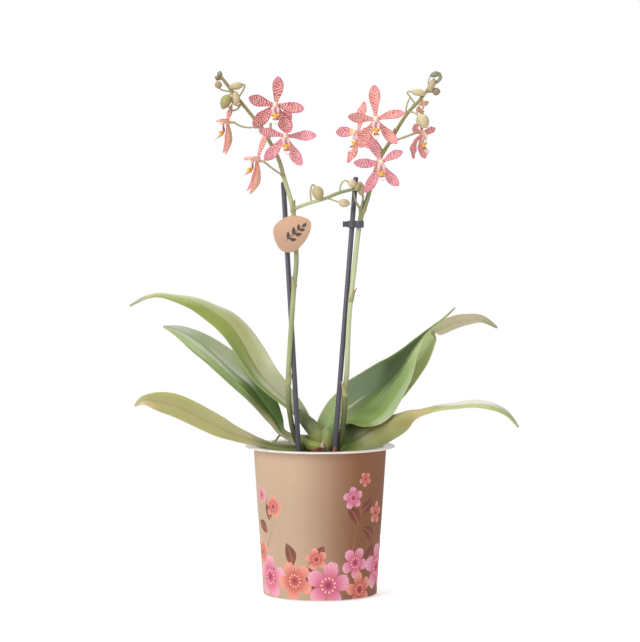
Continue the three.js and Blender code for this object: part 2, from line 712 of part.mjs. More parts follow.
function lipBody(bloom) {
  const middleLobe = [
    [0, -3, -6.1, 1.2, 0, 0],
    [0, -5.4, -8, 1.5, 0, 16],
    [0, -8, -10.4, 2.9, 0, 12],
    [0, -10, -13, 2.2, 0, 6],
    [0, -12, -15, 0.6, 0, 0],
  ];
  const sideLobes = [
    [-4.2, -7, -4, 1.2, -30, 0],
    [-2.6, -5.6, -6, 1.9, -20, 0],
    [0, -4, -7.4, 1.1, 0, 0],
    [2.6, -5.6, -6, 1.9, -20, 0],
    [4.2, -7, -4, 1.2, -30, 0],
  ];
  const callus = limb([[0, -4, -7, 1], [0, -5.8, -7.4, 1.6], [0, -7.2, -8.6, 0.8]], 2, 4);
  const lobes = [
    blade(middleLobe, LIP_THICKNESS, LIP_STEPS, 2),
    blade(sideLobes, LIP_THICKNESS, LIP_STEPS, 1),
  ];
  return geometryOf(joined([...lobes, callus])).applyMatrix4(bloomPose(bloom));
}

const STEMS = { left: LEFT_STEM, right: RIGHT_STEM };

// Pedicel from the stem to the neck at the back of a bloom
function pedicel(bloom) {
  const pose = bloomPose(bloom);
  const sag = bloom.sag || 0;
  const neckEnd = NECK_LENGTH + (SEAT_GAP + 0.06 * sag) / bloom.size;
  const end = new THREE.Vector3(0, neckEnd, 0).applyMatrix4(pose);
  const behind = new THREE.Vector3(0, neckEnd + 9, 0).applyMatrix4(pose);
  behind.z -= sag;
  const stem = STEMS[bloom.stem];
  const root = vector(along(stem, bloom.root));
  const rise = root.clone().addScaledVector(tangentAt(stem, bloom.root), Math.max(0, 4 - sag));
  const curve = new THREE.CubicBezierCurve3(root, rise, behind, end);
  const rows = curve.getPoints(5).map(({ x, y, z }, k) => [x, y, z, (0.9 + 0.05 * k) * bloom.size ** 0.8]);
  return limb(rows, 5, 5);
}

function spike(side, branches, buds, bracts, loose) {
  const stem = STEMS[side];
  const parts = [
    limb(stem, STEM_STEPS, STEM_SIDES),
    ...branches.map((rows) => limb(rows, 6, 5)),
    ...bracts.flatMap((entry) => bract(stem, entry)),
    ...buds.flatMap(bud),
    ...loose.map((rows) => limb(rows, 2, 4)),
    ...BLOOMS.filter((bloom) => bloom.stem === side).map(pedicel),
  ];
  return joined(parts);
}

// Clips: rings round the stem and the stake, open at the back, and a finger tab

const stakeAxis = (top, lean, z) => [top[0] - lean * (top[2] - z), top[1]];

function stemAxis(stem, z) {
  let share = 0;
  while (along(stem, share)[2] < z) share += 0.002;
  return along(stem, share);
}

function clip(top, lean, stem, z, rooms, hasTab) {
  const [stakeX, stakeY] = stakeAxis(top, lean, z);
  const [stemX, stemY, , stemRadius] = stemAxis(stem, z);
  const ring = (x, y, radius) => {
    const drum = new THREE.CylinderGeometry(radius, radius, CLIP_HEIGHT, CLIP_SIDES);
    return drum.rotateX(Math.PI / 2).translate(x, y, z);
  };
  const block = (width, depth, height, x, y) => {
    return new THREE.BoxGeometry(width, depth, height).translate(x, y, z);
  };
  const parts = [
    ring(stakeX, stakeY, STAKE_RADIUS + SEAT_GAP + CLIP_WALL),
    ring(stemX, stemY, stemRadius + 2 * SEAT_GAP + CLIP_WALL),
    block(Math.abs(stemX - stakeX), CLIP_BRIDGE, CLIP_HEIGHT, (stemX + stakeX) / 2, (stemY + stakeY) / 2),
  ];
  if (hasTab) parts.push(block(CLIP_TAB, 1.8, CLIP_HEIGHT - 1, stakeX - CLIP_TAB, stakeY));
  const slots = [[stakeX, stakeY], [stemX, stemY]].map(([x, y]) => {
    return solid(block(CLIP_SLOT, 8, 3 * CLIP_HEIGHT, x, y + 4));
  });
  return cut(joined(parts), [...rooms, ...slots]);
}

// Tag: a thin rounded plate in front of its clip

function tagPlate() {
  const corners = TAG_CORNERS.map(([x, z]) => new THREE.Vector3(x, z, 0));
  const edge = new THREE.CatmullRomCurve3(corners, true, 'centripetal').getPoints(TAG_OUTLINE_STEPS);
  edge.pop();
  const outline = new THREE.Shape(edge.map(({ x, y }) => new THREE.Vector2(x, y)));
  const plate = new THREE.ExtrudeGeometry(outline, {
    depth: TAG_THICKNESS - 2 * TAG_BEVEL,
    bevelSize: TAG_BEVEL,
    bevelThickness: TAG_BEVEL,
    bevelOffset: -TAG_BEVEL,
    bevelSegments: 1,
  });
  plate.translate(0, 0, TAG_BEVEL - TAG_THICKNESS / 2);
  return plate.rotateX(Math.PI / 2).translate(...TAG_MIDDLE);
}

// Assembly

const leftBuds = [...LEFT_BUDS, ...BRANCH_BUDS];
const rightBuds = [...RIGHT_BUDS, ...BRANCH_TIP_BUDS];
const leftStemRoom = solid(limb(LEFT_STEM, STEM_STEPS, STEM_SIDES, SEAT_GAP));
const rightStemRoom = solid(limb(RIGHT_STEM, STEM_STEPS, STEM_SIDES, SEAT_GAP));
const leftStakeRoom = stake(LEFT_STAKE_TOP, LEFT_STAKE_LEAN, SEAT_GAP);
const rightStakeRoom = stake(RIGHT_STAKE_TOP, RIGHT_STAKE_LEAN, SEAT_GAP);
const stakeRooms = [leftStakeRoom, rightStakeRoom];
const stemRooms = [leftStemRoom, rightStemRoom];
const leafRooms = Object.values(LEAVES).map((rows) => {
  return solid(blade(rows, LEAF_THICKNESS, LEAF_STEPS, LEAF_COLUMNS, SEAT_GAP));
});

const crown = cut(crownBody(), [...leafRooms, ...stemRooms, ...stakeRooms]);
const bark = cut(barkPlug(), [crownBody(SEAT_GAP), ...leafRooms, ...stakeRooms]);
const stakeClip = clip(
  RIGHT_STAKE_TOP, RIGHT_STAKE_LEAN, RIGHT_STEM, STAKE_CLIP_Z, [rightStakeRoom, rightStemRoom], true,
);
const tagClip = clip(
  LEFT_STAKE_TOP, LEFT_STAKE_LEAN, LEFT_STEM, TAG_CLIP_Z, [leftStakeRoom, leftStemRoom], false,
);

place('grow_pot', geometryOf(growPot()), CLEAR_PLASTIC, 0.25);
place('pot_sleeve', potSleeve(), TAN_CARD, 0.7);
place('crown', geometryOf(crown), CROWN_GREEN, 0.6);
Object.entries(LEAVES).forEach(([name, rows]) => {
  place(name, blade(rows, LEAF_THICKNESS, LEAF_STEPS, LEAF_COLUMNS), LEAF_GREEN, 0.4);
});
place('spike_left', geometryOf(spike('left', [LEFT_BRANCH], leftBuds, LEFT_BRACTS, [])), STEM_GREEN, 0.55);
place(
  'spike_right', geometryOf(spike('right', [RIGHT_BRANCH], rightBuds, RIGHT_BRACTS, LOOSE_PEDICELS)),
  STEM_GREEN, 0.55,
);
place('stake_left', geometryOf(stake(LEFT_STAKE_TOP, LEFT_STAKE_LEAN)), STAKE_GREY, 0.5);
place('stake_right', geometryOf(stake(RIGHT_STAKE_TOP, RIGHT_STAKE_LEAN)), STAKE_GREY, 0.5);
place('stake_clip', geometryOf(stakeClip), STAKE_GREY, 0.5);
place('tag_clip', geometryOf(tagClip), STAKE_GREY, 0.5);
place('tag', tagPlate(), PALE_WOOD, 0.6);
place('bark_mix', geometryOf(bark), BARK_BROWN, 0.9);
BLOOMS.forEach((bloom, index) => {
  place(`bloom_${index + 1}`, bloomBody(bloom), BLOOM_PINK, 0.5);
  place(`lip_${index + 1}`, lipBody(bloom), LIP_YELLOW, 0.5);
});

export default plant;
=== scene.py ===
"""Looks of a potted moth orchid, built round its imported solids.

Strap leaves with midribs, two flower stems with bracts and buds, nine barred flowers with their lips, a clear
grow pot in a printed card sleeve, bark with roots, stakes, clips and a wooden tag. Tables are in millimetres,
with the front of the plant towards -Y, and meshes are in metres.
"""

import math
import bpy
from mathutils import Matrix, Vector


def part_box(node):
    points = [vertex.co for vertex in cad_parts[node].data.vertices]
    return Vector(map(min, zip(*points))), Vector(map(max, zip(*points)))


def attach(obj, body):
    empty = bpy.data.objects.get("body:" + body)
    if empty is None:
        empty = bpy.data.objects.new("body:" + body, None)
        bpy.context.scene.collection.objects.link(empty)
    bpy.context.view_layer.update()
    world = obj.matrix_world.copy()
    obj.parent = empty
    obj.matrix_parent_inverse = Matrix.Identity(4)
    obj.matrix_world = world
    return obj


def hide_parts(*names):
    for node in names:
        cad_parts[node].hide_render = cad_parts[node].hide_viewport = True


bl_info = {
    "name": "Potted moth orchid",
    "version": (1, 0, 0),
    "blender": (4, 5, 0),
    "location": "3D View > Sidebar > Orchid",
    "description": "Builds a potted moth orchid piece by piece round its packed solids",
    "category": "Add Mesh",
}

from collections import namedtuple

import bmesh
import bpy
import numpy as np
from bpy.props import FloatProperty, FloatVectorProperty
from mathutils import Vector

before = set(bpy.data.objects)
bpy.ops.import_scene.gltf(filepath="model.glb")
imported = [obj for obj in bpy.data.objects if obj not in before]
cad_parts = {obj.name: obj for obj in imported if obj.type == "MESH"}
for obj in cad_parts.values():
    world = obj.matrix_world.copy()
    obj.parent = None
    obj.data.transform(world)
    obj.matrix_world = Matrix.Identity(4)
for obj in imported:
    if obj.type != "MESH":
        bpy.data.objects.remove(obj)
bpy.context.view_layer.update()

MM = 0.001
SEED = 7


def tint(text):
    """Linear colour of a hex colour as it looks on a screen."""
    parts = [int(text[k:k + 2], 16) / 255 for k in (1, 3, 5)]
    return tuple(p / 12.92 if p <= 0.04045 else ((p + 0.055) / 1.055) ** 2.4 for p in parts)


# Sizes and colours a user may change


def number_setting(label, words, default, **limits):
    """A number for the panel."""
    return FloatProperty(name=label, description=words, default=default, min=0, **limits)


def size_setting(label, words, default):
    """A length in metres for the panel."""
    return number_setting(label, words, default, unit="LENGTH")


def colour_setting(label, words, default):
    """A colour for the panel, from a hex colour."""
    return FloatVectorProperty(
        name=label, description=words, default=tint(default), subtype="COLOR", size=3, min=0, max=1,
    )


class PotLooks(bpy.types.PropertyGroup):
    """Pot, sleeve, bark, stakes, clips and tag."""

    rim_radius: size_setting("Rim radius", "Outer radius of the grow pot's rim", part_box("grow_pot")[1].x)
    plastic: colour_setting("Pot plastic", "Frosted clear plastic of the grow pot", "#ece4de")
    card: colour_setting("Sleeve card", "Kraft card of the sleeve", "#b39980")
    # The deeper card colour is painted shade, laid over the right side of the sleeve.
    card_painted_shade: colour_setting("Card painted shade", "Painted shade on the right side of the kraft card", "#7f5337")
    print_pink: colour_setting("Print pink", "Pink blossoms printed on the sleeve", "#c65a7c")
    print_red: colour_setting("Print red", "Red blossoms printed on the sleeve", "#bb5350")
    print_brown: colour_setting("Print brown", "Leaves and twigs printed on the sleeve", "#6e3a30")
    bark: colour_setting("Bark", "Bark chips", "#6b4433")
    stake: colour_setting("Stakes", "Plastic of the stakes and clips", "#544f5c")
    wood: colour_setting("Tag wood", "Thin wood of the tag", "#c6a086")
    ink: colour_setting("Tag ink", "Sprig printed on the tag", "#3d3638")


class LeafLooks(bpy.types.PropertyGroup):
    """Leaves, crown and roots."""

    thickness: size_setting("Thickness", "Leaf thickness beside the midrib", 1.8 * MM)
    margin: colour_setting("Margin", "Thin pale edge of a leaf", "#b9ba86")
    crown: colour_setting("Crown", "Leaf bases at the crown", "#94a355")
    root: colour_setting("Root", "Silvery skin of the roots", "#a9ac8c")


class FlowerLooks(bpy.types.PropertyGroup):
    """Flower stems, buds and flowers."""

    tepal_thickness: size_setting("Tepal thickness", "Thickness of sepals and petals", 0.8 * MM)
    lip_thickness: size_setting("Lip thickness", "Thickness of the lip's lobes", 0.7 * MM)
    bars: colour_setting("Bars", "Fine pale bars across sepals and petals", "#fbe0c4")
    back: colour_setting("Back", "Back of sepals and petals", "#eb9f8c")
    yellow: colour_setting("Lip yellow", "Callus and side lobes of the lip", "#f6c25c")
    marks: colour_setting("Lip marks", "Dark marks on the lip", "#8f2434")
    stem: colour_setting("Stem", "Olive green of the flower stems", "#a0a76c")
    bud: colour_setting("Bud", "Olive tone of the closed buds", "#a9a468")


class StageLooks(bpy.types.PropertyGroup):
    """Camera and light."""

    distance: size_setting("Distance", "From the camera to the plant's axis", 2.3)
    height: size_setting("Height", "Camera above the floor", 0.348)
    aim: size_setting("Aim", "Height that the camera looks at", 0.2192)
    lens: number_setting("Lens", "Focal length in millimetres", 161.5)
    key: number_setting("Key light", "Power of the soft light from the left", 40)
    fill: number_setting("Fill light", "Power of the light from the right", 13)
    top: number_setting("Top light", "Power of the light above and behind", 16)


# Curves and closed forms


def along(rows, shares):
    """Smooth curve through rows of numbers, at shares of its length from 0 to 1."""
    rows = np.asarray(rows, float)
    last = len(rows) - 1
    place = np.minimum(np.asarray(shares, float) * last, last - 1e-6)
    start = place.astype(int)
    f = (place - start)[:, None]
    a, b, d, e = (rows[np.clip(start + k, 0, last)] for k in (-1, 0, 1, 2))
    return b + 0.5 * f * (d - a + f * (2 * a - 5 * b + 4 * d - e + f * (3 * (b - d) + e - a)))


def unit(vectors):
    """Each row scaled to length 1."""
    return vectors / np.linalg.norm(vectors, axis=-1, keepdims=True)


def tangents(rows, shares):
    """Directions of the curve at the shares."""
    step = 0.004
    ahead = along(rows, np.minimum(1, shares + step))[:, :3]
    return unit(ahead - along(rows, np.maximum(0, shares - step))[:, :3])


def length_of(rows):
    """Length of the line through the rows."""
    return np.linalg.norm(np.diff(np.asarray(rows, float)[:, :3], axis=0), axis=1).sum()


def smooth(value, low, high):
    """0 below low, 1 above high, and a smooth rise between them."""
    t = np.clip((value - low) / (high - low), 0, 1)
    return t * t * (3 - 2 * t)


def circle(count):
    """Angles spread evenly round a circle."""
    return 2 * np.pi * np.arange(count) / count


def side_by_side(*columns):
    """Points or marks from their three columns, each spread over the others."""
    return np.stack(np.broadcast_arrays(*columns), -1)


def limb_rings(rows, steps, sides, swell=None, ease=False):
    """Rings of a round limb through rows of x, y, z and radius. Swell(share, angle) scales the radius."""
    shares = np.linspace(0, 1, steps + 1)
    if ease:
        shares = 0.5 - 0.5 * np.cos(np.pi * shares)
    angles = circle(sides)
    reference = np.array([0.31, -0.9, 0.3])
    rings = []
    for share, row, way in zip(shares, along(rows, shares), tangents(rows, shares)):
        reference = unit(reference - way * (reference @ way))
        beside = np.cross(way, reference)
        reach = row[3] * (swell(share, angles) if swell else np.ones(sides))
        spokes = np.outer(np.cos(angles), reference) + np.outer(np.sin(angles), beside)
        rings.append(row[:3] + reach[:, None] * spokes)
    return np.array(rings), shares, angles


ACROSS = np.array([0, 0.035, 0.09, 0.17, 0.28, 0.4, 0.53, 0.66, 0.78, 0.88, 0.95, 0.985, 1])


def blade_rings(rows, thickness, steps, across=ACROSS, groove=0.0, keel=0.0, ripple=None, bow=1.5):
    """Rings of a thin blade through rows of x, y, z, half width, face and fold.

    The rings run along the upper skin and back along the lower one and meet at the rounded margins. Groove
    sinks the upper skin over the midrib and keel thickens the lower one. Ripple(share, v) lifts both skins.
    Bow is the power by which the halves rise, so that a higher one makes a rounder valley.
    Gives the rings, shares, v and which points are on the lower skin.
    """
    shares = np.linspace(0, 1, steps + 1)
    table = along(rows, shares)[:, None]
    spot, half = table[..., :3], table[..., 3:4]
    face, fold = np.radians(table[..., 4:5]), np.radians(table[..., 5:6])
    way = tangents(rows, shares)
    front = unit(np.array([0, -1, 0]) + way * way[:, 1:2])
    rise = np.cross(way, front)
    rise[rise[:, 2] < 0] *= -1
    normal = front[:, None] * np.cos(face) + rise[:, None] * np.sin(face)
    side = np.cross(way[:, None], normal)
    upper = np.concatenate([-across[:0:-1], across])
    v = np.concatenate([upper, upper[-2:0:-1]])
    below = np.arange(len(v)) >= len(upper)
    v3 = v[None, :, None]
    lift = np.abs(v3) ** bow * np.sin(fold) * half
    if ripple:
        lift = lift + ripple(shares[:, None], v[None, :])[:, :, None]
    middle = spot + side * v3 * half * np.cos(fold) + normal * lift
    slope = np.arctan(bow * np.abs(v3) ** (bow - 1) * np.tan(fold)) * np.sign(v3)
    skin = normal * np.cos(slope) - side * np.sin(slope)
    depth = thickness * (1 - 0.45 * v3 ** 2) / 2 * np.sqrt(np.clip(1 - v3 ** 16, 0, 1))
    top = depth - groove * np.exp(-((v3 * half / (1.1 + 0.02 * half)) ** 2))
    bottom = -depth - keel * np.exp(-((v3 * half / 1.5) ** 2))
    return middle + skin * np.where(below[None, :, None], bottom, top), shares, v, below


def place_object(name, data):
    """A new object in the scene."""
    made = bpy.data.objects.new(name, data)
    bpy.context.scene.collection.objects.link(made)
    return made


class Skin:
    """Gathers closed forms, in millimetres, and the marks that their finishes read, into one piece.

    Marks are "place", the share along the form, the share across it from -1 to 1 and 1 on its underside, and
    "grain", millimetres along and across it and a number that differs from form to form.
    """

    def __init__(self):
        self.points, self.faces, self.kinds, self.place, self.grain = [], [], [], [], []
        self.count = 0

    def add(self, points, faces, kind=0, place=None, grain=None):
        """Adds one closed form, its faces turned outwards."""
        points = np.asarray(points, float)
        corners = np.array([(f[0], f[k], f[k + 1]) for f in faces for k in range(1, len(f) - 1)])
        a, b, c = (points[corners[:, k]] for k in range(3))
        if np.einsum("ij,ij->", np.cross(a, b), c) < 0:
            faces = [f[::-1] for f in faces]
        self.points.append(points)
        self.faces.extend(tuple(int(k) + self.count for k in f) for f in faces)
        self.kinds.extend([kind] * len(faces))
        self.place.append(np.zeros((len(points), 3)) if place is None else place)
        self.grain.append(points.copy() if grain is None else grain)
        self.count += len(points)

    def loft(self, rings, kind=0, place=None, grain=None, loop=False):
        """Skins a row of rings. The ends are closed over their middles, or joined to each other in a loop."""
        rings = np.asarray(rings, float)
        n, m = rings.shape[:2]
        grid = np.arange(n * m).reshape(n, m)
        following = np.roll(grid, -1, axis=0) if loop else grid[1:]
        first = grid if loop else grid[:-1]
        quads = np.stack([first, np.roll(first, -1, axis=1), np.roll(following, -1, axis=1), following], -1)
        faces = [tuple(f) for f in quads.reshape(-1, 4)]
        tables = [rings, place, grain]
        if loop:
            tables = [None if table is None else table.reshape(-1, 3) for table in tables]
        else:
            for ring, centre, turn in ((grid[0], n * m, 1), (grid[-1], n * m + 1, -1)):
                faces += [(centre, *(int(ring[(k + j) % m]) for j in (1, 0)[::turn])) for k in range(m)]
            for k, table in enumerate(tables):
                if table is not None:
                    tables[k] = np.concatenate([table.reshape(-1, 3), [table[0].mean(0), table[-1].mean(0)]])
        self.add(tables[0], faces, kind, *tables[1:])

    def limb(self, rows, steps, sides, kind=0, seed=0.0, swell=None, ease=False, third=0.0):
        """A round limb. Third is the place mark's third number."""
        rings, shares, angles = limb_rings(rows, steps, sides, swell, ease)
        shares = shares[:, None]
        radius = along(rows, shares[:, 0])[:, 3:4]
        folded = np.where(angles > np.pi, 2 * np.pi - angles, angles)
        grain = side_by_side(shares * length_of(rows), radius * folded, seed)
        self.loft(rings, kind, side_by_side(shares, np.cos(angles), third), grain)

    def blade(self, rows, thickness, steps, kind=0, seed=0.0, **shape):
        """A thin blade."""
        rings, shares, v, below = blade_rings(rows, thickness, steps, **shape)
        shares = shares[:, None]
        half = along(rows, shares[:, 0])[:, 3:4]
        grain = side_by_side(shares * length_of(rows), v * half, seed)
        self.loft(rings, kind, side_by_side(shares, v, below.astype(float)), grain)

    def pose(self, matrix):
        """Turns and moves the forms by a 4 x 4 matrix."""
        self.points = [points @ matrix[:3, :3].T + matrix[:3, 3] for points in self.points]

    def mesh(self, name):
        """A bare mesh of the forms."""
        mesh = bpy.data.meshes.new(name)
        mesh.from_pydata((np.concatenate(self.points) * MM).tolist(), [], self.faces)
        return mesh

    def piece(self, name, finishes, slot, replaces=(), sharp=None):
        """Makes the piece, gives it its finishes and lets it ride on the frame; the slot is not used."""
        mesh = self.mesh(name)
        for mark in ("place", "grain"):
            layer = mesh.attributes.new(mark, "FLOAT_VECTOR", "POINT")
            layer.data.foreach_set("vector", np.concatenate(getattr(self, mark)).astype(np.float32).ravel())
        for finish in finishes:
            mesh.materials.append(finish)
        mesh.polygons.foreach_set("material_index", self.kinds)
        mesh.polygons.foreach_set("use_smooth", [True] * len(mesh.polygons))
        if sharp:
            mesh.set_sharp_from_angle(angle=math.radians(sharp))
        mesh.update()
        made = place_object(name, mesh)
        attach(made, "root")
        if replaces:
            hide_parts(*replaces)
        return made


def bake_modifiers(made):
    """Applies the piece's modifiers to its mesh."""
    graph = bpy.context.evaluated_depsgraph_get()
    mesh = bpy.data.meshes.new_from_object(made.evaluated_get(graph))
    made.modifiers.clear()
    made.data = mesh


# Finishes


class Value:
    """A number or colour of a node tree. Numbers are reckoned with like any others."""

    def __init__(self, wiring, socket):
        self.wiring, self.socket = wiring, socket

    def sum(self, operation, *others):
        """A node's sum of this number and up to two others, by the name of its operation."""
        return self.wiring.value("ShaderNodeMath", dict(enumerate((self, *others))), operation=operation)

    def __add__(self, other):
        return self.sum("ADD", other)

    def __sub__(self, other):
        return self.sum("SUBTRACT", other)

    def __rsub__(self, other):
        return self.fit(-1, other)

    def __mul__(self, other):
        return self.sum("MULTIPLY", other)

    def __abs__(self):
        return self.sum("ABSOLUTE")

    def fit(self, scale, shift):
        """The number times a scale, moved by a shift, in a single node."""
        return self.sum("MULTIPLY_ADD", scale, shift)

    def rise(self, low, high):
        """0 below low, 1 above high, and a smooth rise between them."""
        return self.wiring.value(
            "ShaderNodeMapRange", {0: self, 1: low, 2: high}, interpolation_type="SMOOTHSTEP",
        )

    def fall(self, low, high):
        """1 below low, 0 above high, and a smooth fall between them."""
        return 1 - self.rise(low, high)

    def swing(self, low, high):
        """A number from 0 to 1 moved into a range."""
        return self.wiring.value("ShaderNodeMapRange", {0: self, 3: low, 4: high})


class Wiring:
    """Short ways to add nodes to a tree and wire them."""

    def __init__(self, tree):
        self.tree = tree

    def node(self, kind, inputs=None, **settings):
        """Adds a node. Inputs are given by name or place, as numbers, colours, hex colours or values."""
        made = self.tree.nodes.new(kind)
        for key, value in settings.items():
            setattr(made, key, value)
        for key, value in (inputs or {}).items():
            self.feed(made.inputs[key], value)
        return made

    def feed(self, entry, value):
        """Gives a node's input its number or colour, or links it."""
        if isinstance(value, Value):
            self.tree.links.new(value.socket, entry)
        elif hasattr(entry.default_value, "__len__"):
            parts = tint(value) if isinstance(value, str) else value
            entry.default_value = (*parts, 1)[:len(entry.default_value)]
        else:
            entry.default_value = value

    def values(self, kind, inputs=None, **settings):
        """All outputs of a new node."""
        return [Value(self, output) for output in self.node(kind, inputs, **settings).outputs]

    def value(self, kind, inputs=None, output=0, **settings):
        """One output of a new node."""
        return Value(self, self.node(kind, inputs, **settings).outputs[output])

    def parts(self, vector):
        """The three numbers of a vector."""
        return self.values("ShaderNodeSeparateXYZ", {0: vector})

    def mix(self, share, first, second):
        """Mixes two colours."""
        return self.value("ShaderNodeMix", {0: share, 6: first, 7: second}, 2, data_type="RGBA")

    def shaded(self, colour, value, saturation=1.0):
        """A colour made lighter or darker by a number near 1."""
        inputs = {"Color": colour, "Value": value, "Saturation": saturation}
        return self.value("ShaderNodeHueSaturation", inputs)

    def noise(self, vector, scale, detail=2, distortion=0.0):
        """Smooth noise from 0 to 1. A scale of three numbers stretches each axis."""
        if isinstance(scale, tuple):
            vector, scale = self.value("ShaderNodeMapping", {0: vector, 3: scale}), 1
        inputs = {"Vector": vector, "Scale": scale, "Detail": detail, "Distortion": distortion}
        return self.value("ShaderNodeTexNoise", inputs)

    def combine(self, x, y):
        """A flat vector from two numbers."""
        return self.value("ShaderNodeCombineXYZ", {0: x, 1: y})

    def place_mm(self):
        """The point of the surface in millimetres, in the plant's own frame."""
        spot = self.value("ShaderNodeTexCoord", output="Object")
        return self.value("ShaderNodeVectorMath", {0: spot, 3: 1000.0}, operation="SCALE")


class Finish(Wiring):
    """A node material with the colour built up so far and the marks of its piece.

    The shader's other sockets are given by name, with a low line for each space.
    """

    def __init__(self, name, specular=0.5, roughness=0.5, **sockets):
        self.material = bpy.data.materials.new(name)
        self.material.use_nodes = True
        super().__init__(self.material.node_tree)
        self.shader = self.tree.nodes["Principled BSDF"]
        for key, value in {"Specular IOR Level": specular, "Roughness": roughness, **sockets}.items():
            self.feed(self.shader.inputs[key.replace("_", " ")], value)
        place, self.grain = (
            self.value("ShaderNodeAttribute", output="Vector", attribute_name=mark)
            for mark in ("place", "grain")
        )
        self.share, self.v, self.third = self.parts(place)
        self.length, self.across, self.seed = self.parts(self.grain)
        self.colour = None

    def lay(self, tone, share):
        """Lays a tone over the colour so far."""
        self.colour = self.mix(share, self.colour, tone)

    def shade(self, value, saturation=1.0):
        """Makes the colour so far lighter or darker."""
        self.colour = self.shaded(self.colour, value, saturation)

    def grains(self, scale, detail=2, distortion=0.0):
        """Noise that follows the form."""
        return self.noise(self.grain, scale, detail, distortion)

    def wear(self, roughness=None, height=None, strength=0.3, depth=0.0002):
        """Wires the colour and, where given, the roughness and bump height."""
        self.feed(self.shader.inputs["Base Color"], self.colour)
        if roughness is not None:
            self.feed(self.shader.inputs["Roughness"], roughness)
        if height is not None:
            bump = self.value("ShaderNodeBump", {"Height": height, "Strength": strength, "Distance": depth})
            self.feed(self.shader.inputs["Normal"], bump)
        return self.material


# Tables, in millimetres and degrees

POT_HEIGHT = 119.5
POT_RIM_THICKNESS = 1.2
POT_WALL = 1.2
POT_FLOOR = 2.0
DRAIN_HOLES = 6
DRAIN_HOLE_RADIUS = 4.0
DRAIN_RING_RADIUS = 30.0
SLEEVE_TOP_RADIUS = 53.2
SLEEVE_FOOT_RADIUS = 45.6
SLEEVE_THICKNESS = 0.7
SLEEVE_FOOT_Z = 1.0
SEAT_GAP = 0.3
RIM_UNDERSIDE = POT_HEIGHT - POT_RIM_THICKNESS
SLEEVE_TAPER = (SLEEVE_TOP_RADIUS - SLEEVE_FOOT_RADIUS) / (RIM_UNDERSIDE - SLEEVE_FOOT_Z)
CARD_RADIUS = 49.5
CARD_HALF = math.pi * CARD_RADIUS
CARD_QUARTERS = 4
CARD_LAP = 0.45

BARK_LEVEL = 110.0
BARK_MOUND = 5.0
BARK_MOUND_RADIUS = 24.0
BARK_RELIEF = 1.5
BARK_CHIPS = 330
BARK_CHIP_POINTS = 16
BARK_CHIP_MARGIN = 4.5
BARK_CHIP_SIZES = ((3, 6.5), (2.2, 4.2), (0.9, 2))
BARK_CHIP_LIFT = (-1.4, 0.6)
BARK_CHIP_TILT = 0.35

STAKE_RADIUS = 2.0
STAKE_FOOT_Z = 30.0
STAKE_TAPER = 1.2
STAKE_TOPS = {"left": (-29.1, -15.0, 330.5), "right": (28.4, -16.0, 334.5)}
STAKE_LEANS = {"left": -0.0567, "right": 0.077}

TAG_THICKNESS = 1.2
TAG_BEVEL = 0.25


# Joint under a bract and scale at the foot of a stalk, as height and radius (the joint's over the stem's own)

BRACT_JOINT = [(-1.8, 0), (-0.7, 0.35), (0, 0.55), (0.7, 0.35), (1.8, 0)]
STALK_SCALE = [(0.2, 1.6), (1.6, 1.7), (3.2, 1.2), (4.4, 0.9)]

BRACT_LENGTH = 8.4
BRACT_WRAP = math.radians(115)
BUD_STALK_RADIUS = 0.66
STALK_REACH = 9.0
STALK_STEPS = 10
NECK_LENGTH = 6.0
NECK_RADIUS = 1.1
CROWN_VOXEL = 0.55

# How many steps the larger forms have round and along them

POT_SIDES = 180
CARD_SIDES = 240
CARD_RINGS = 9
BARK_SIDES = 120
BARK_RINGS = 34
STAKE_SIDES = 28
TAG_STEPS = 128
LEAF_STEPS = 110
SHEATH_STEPS = 40
ROOT_STEPS = 60
STEM_STEPS = 170
TEPAL_STEPS = 30
LIP_STEPS = 22
FLOOR_SIDES = 96

# The stage, in metres

FLOOR_RADIUS = 0.9
LAMP_AIM = 0.22
LAMPS = {
    "key_light": ((-1.5, -1.7, 1.5), 1.5),
    "fill_light": ((1.9, -1.6, 0.9), 1.6),
    "top_light": ((-0.2, 0.7, 1.7), 1.8),
}

# Leaves: rows run from the crown to the tip as x, y, z, half width, face and fold.
# Face is the way the upper side looks: 0 to the front, 90 straight up, 180 to the back.
# Fold is the angle by which each half of the blade rises from the midrib.

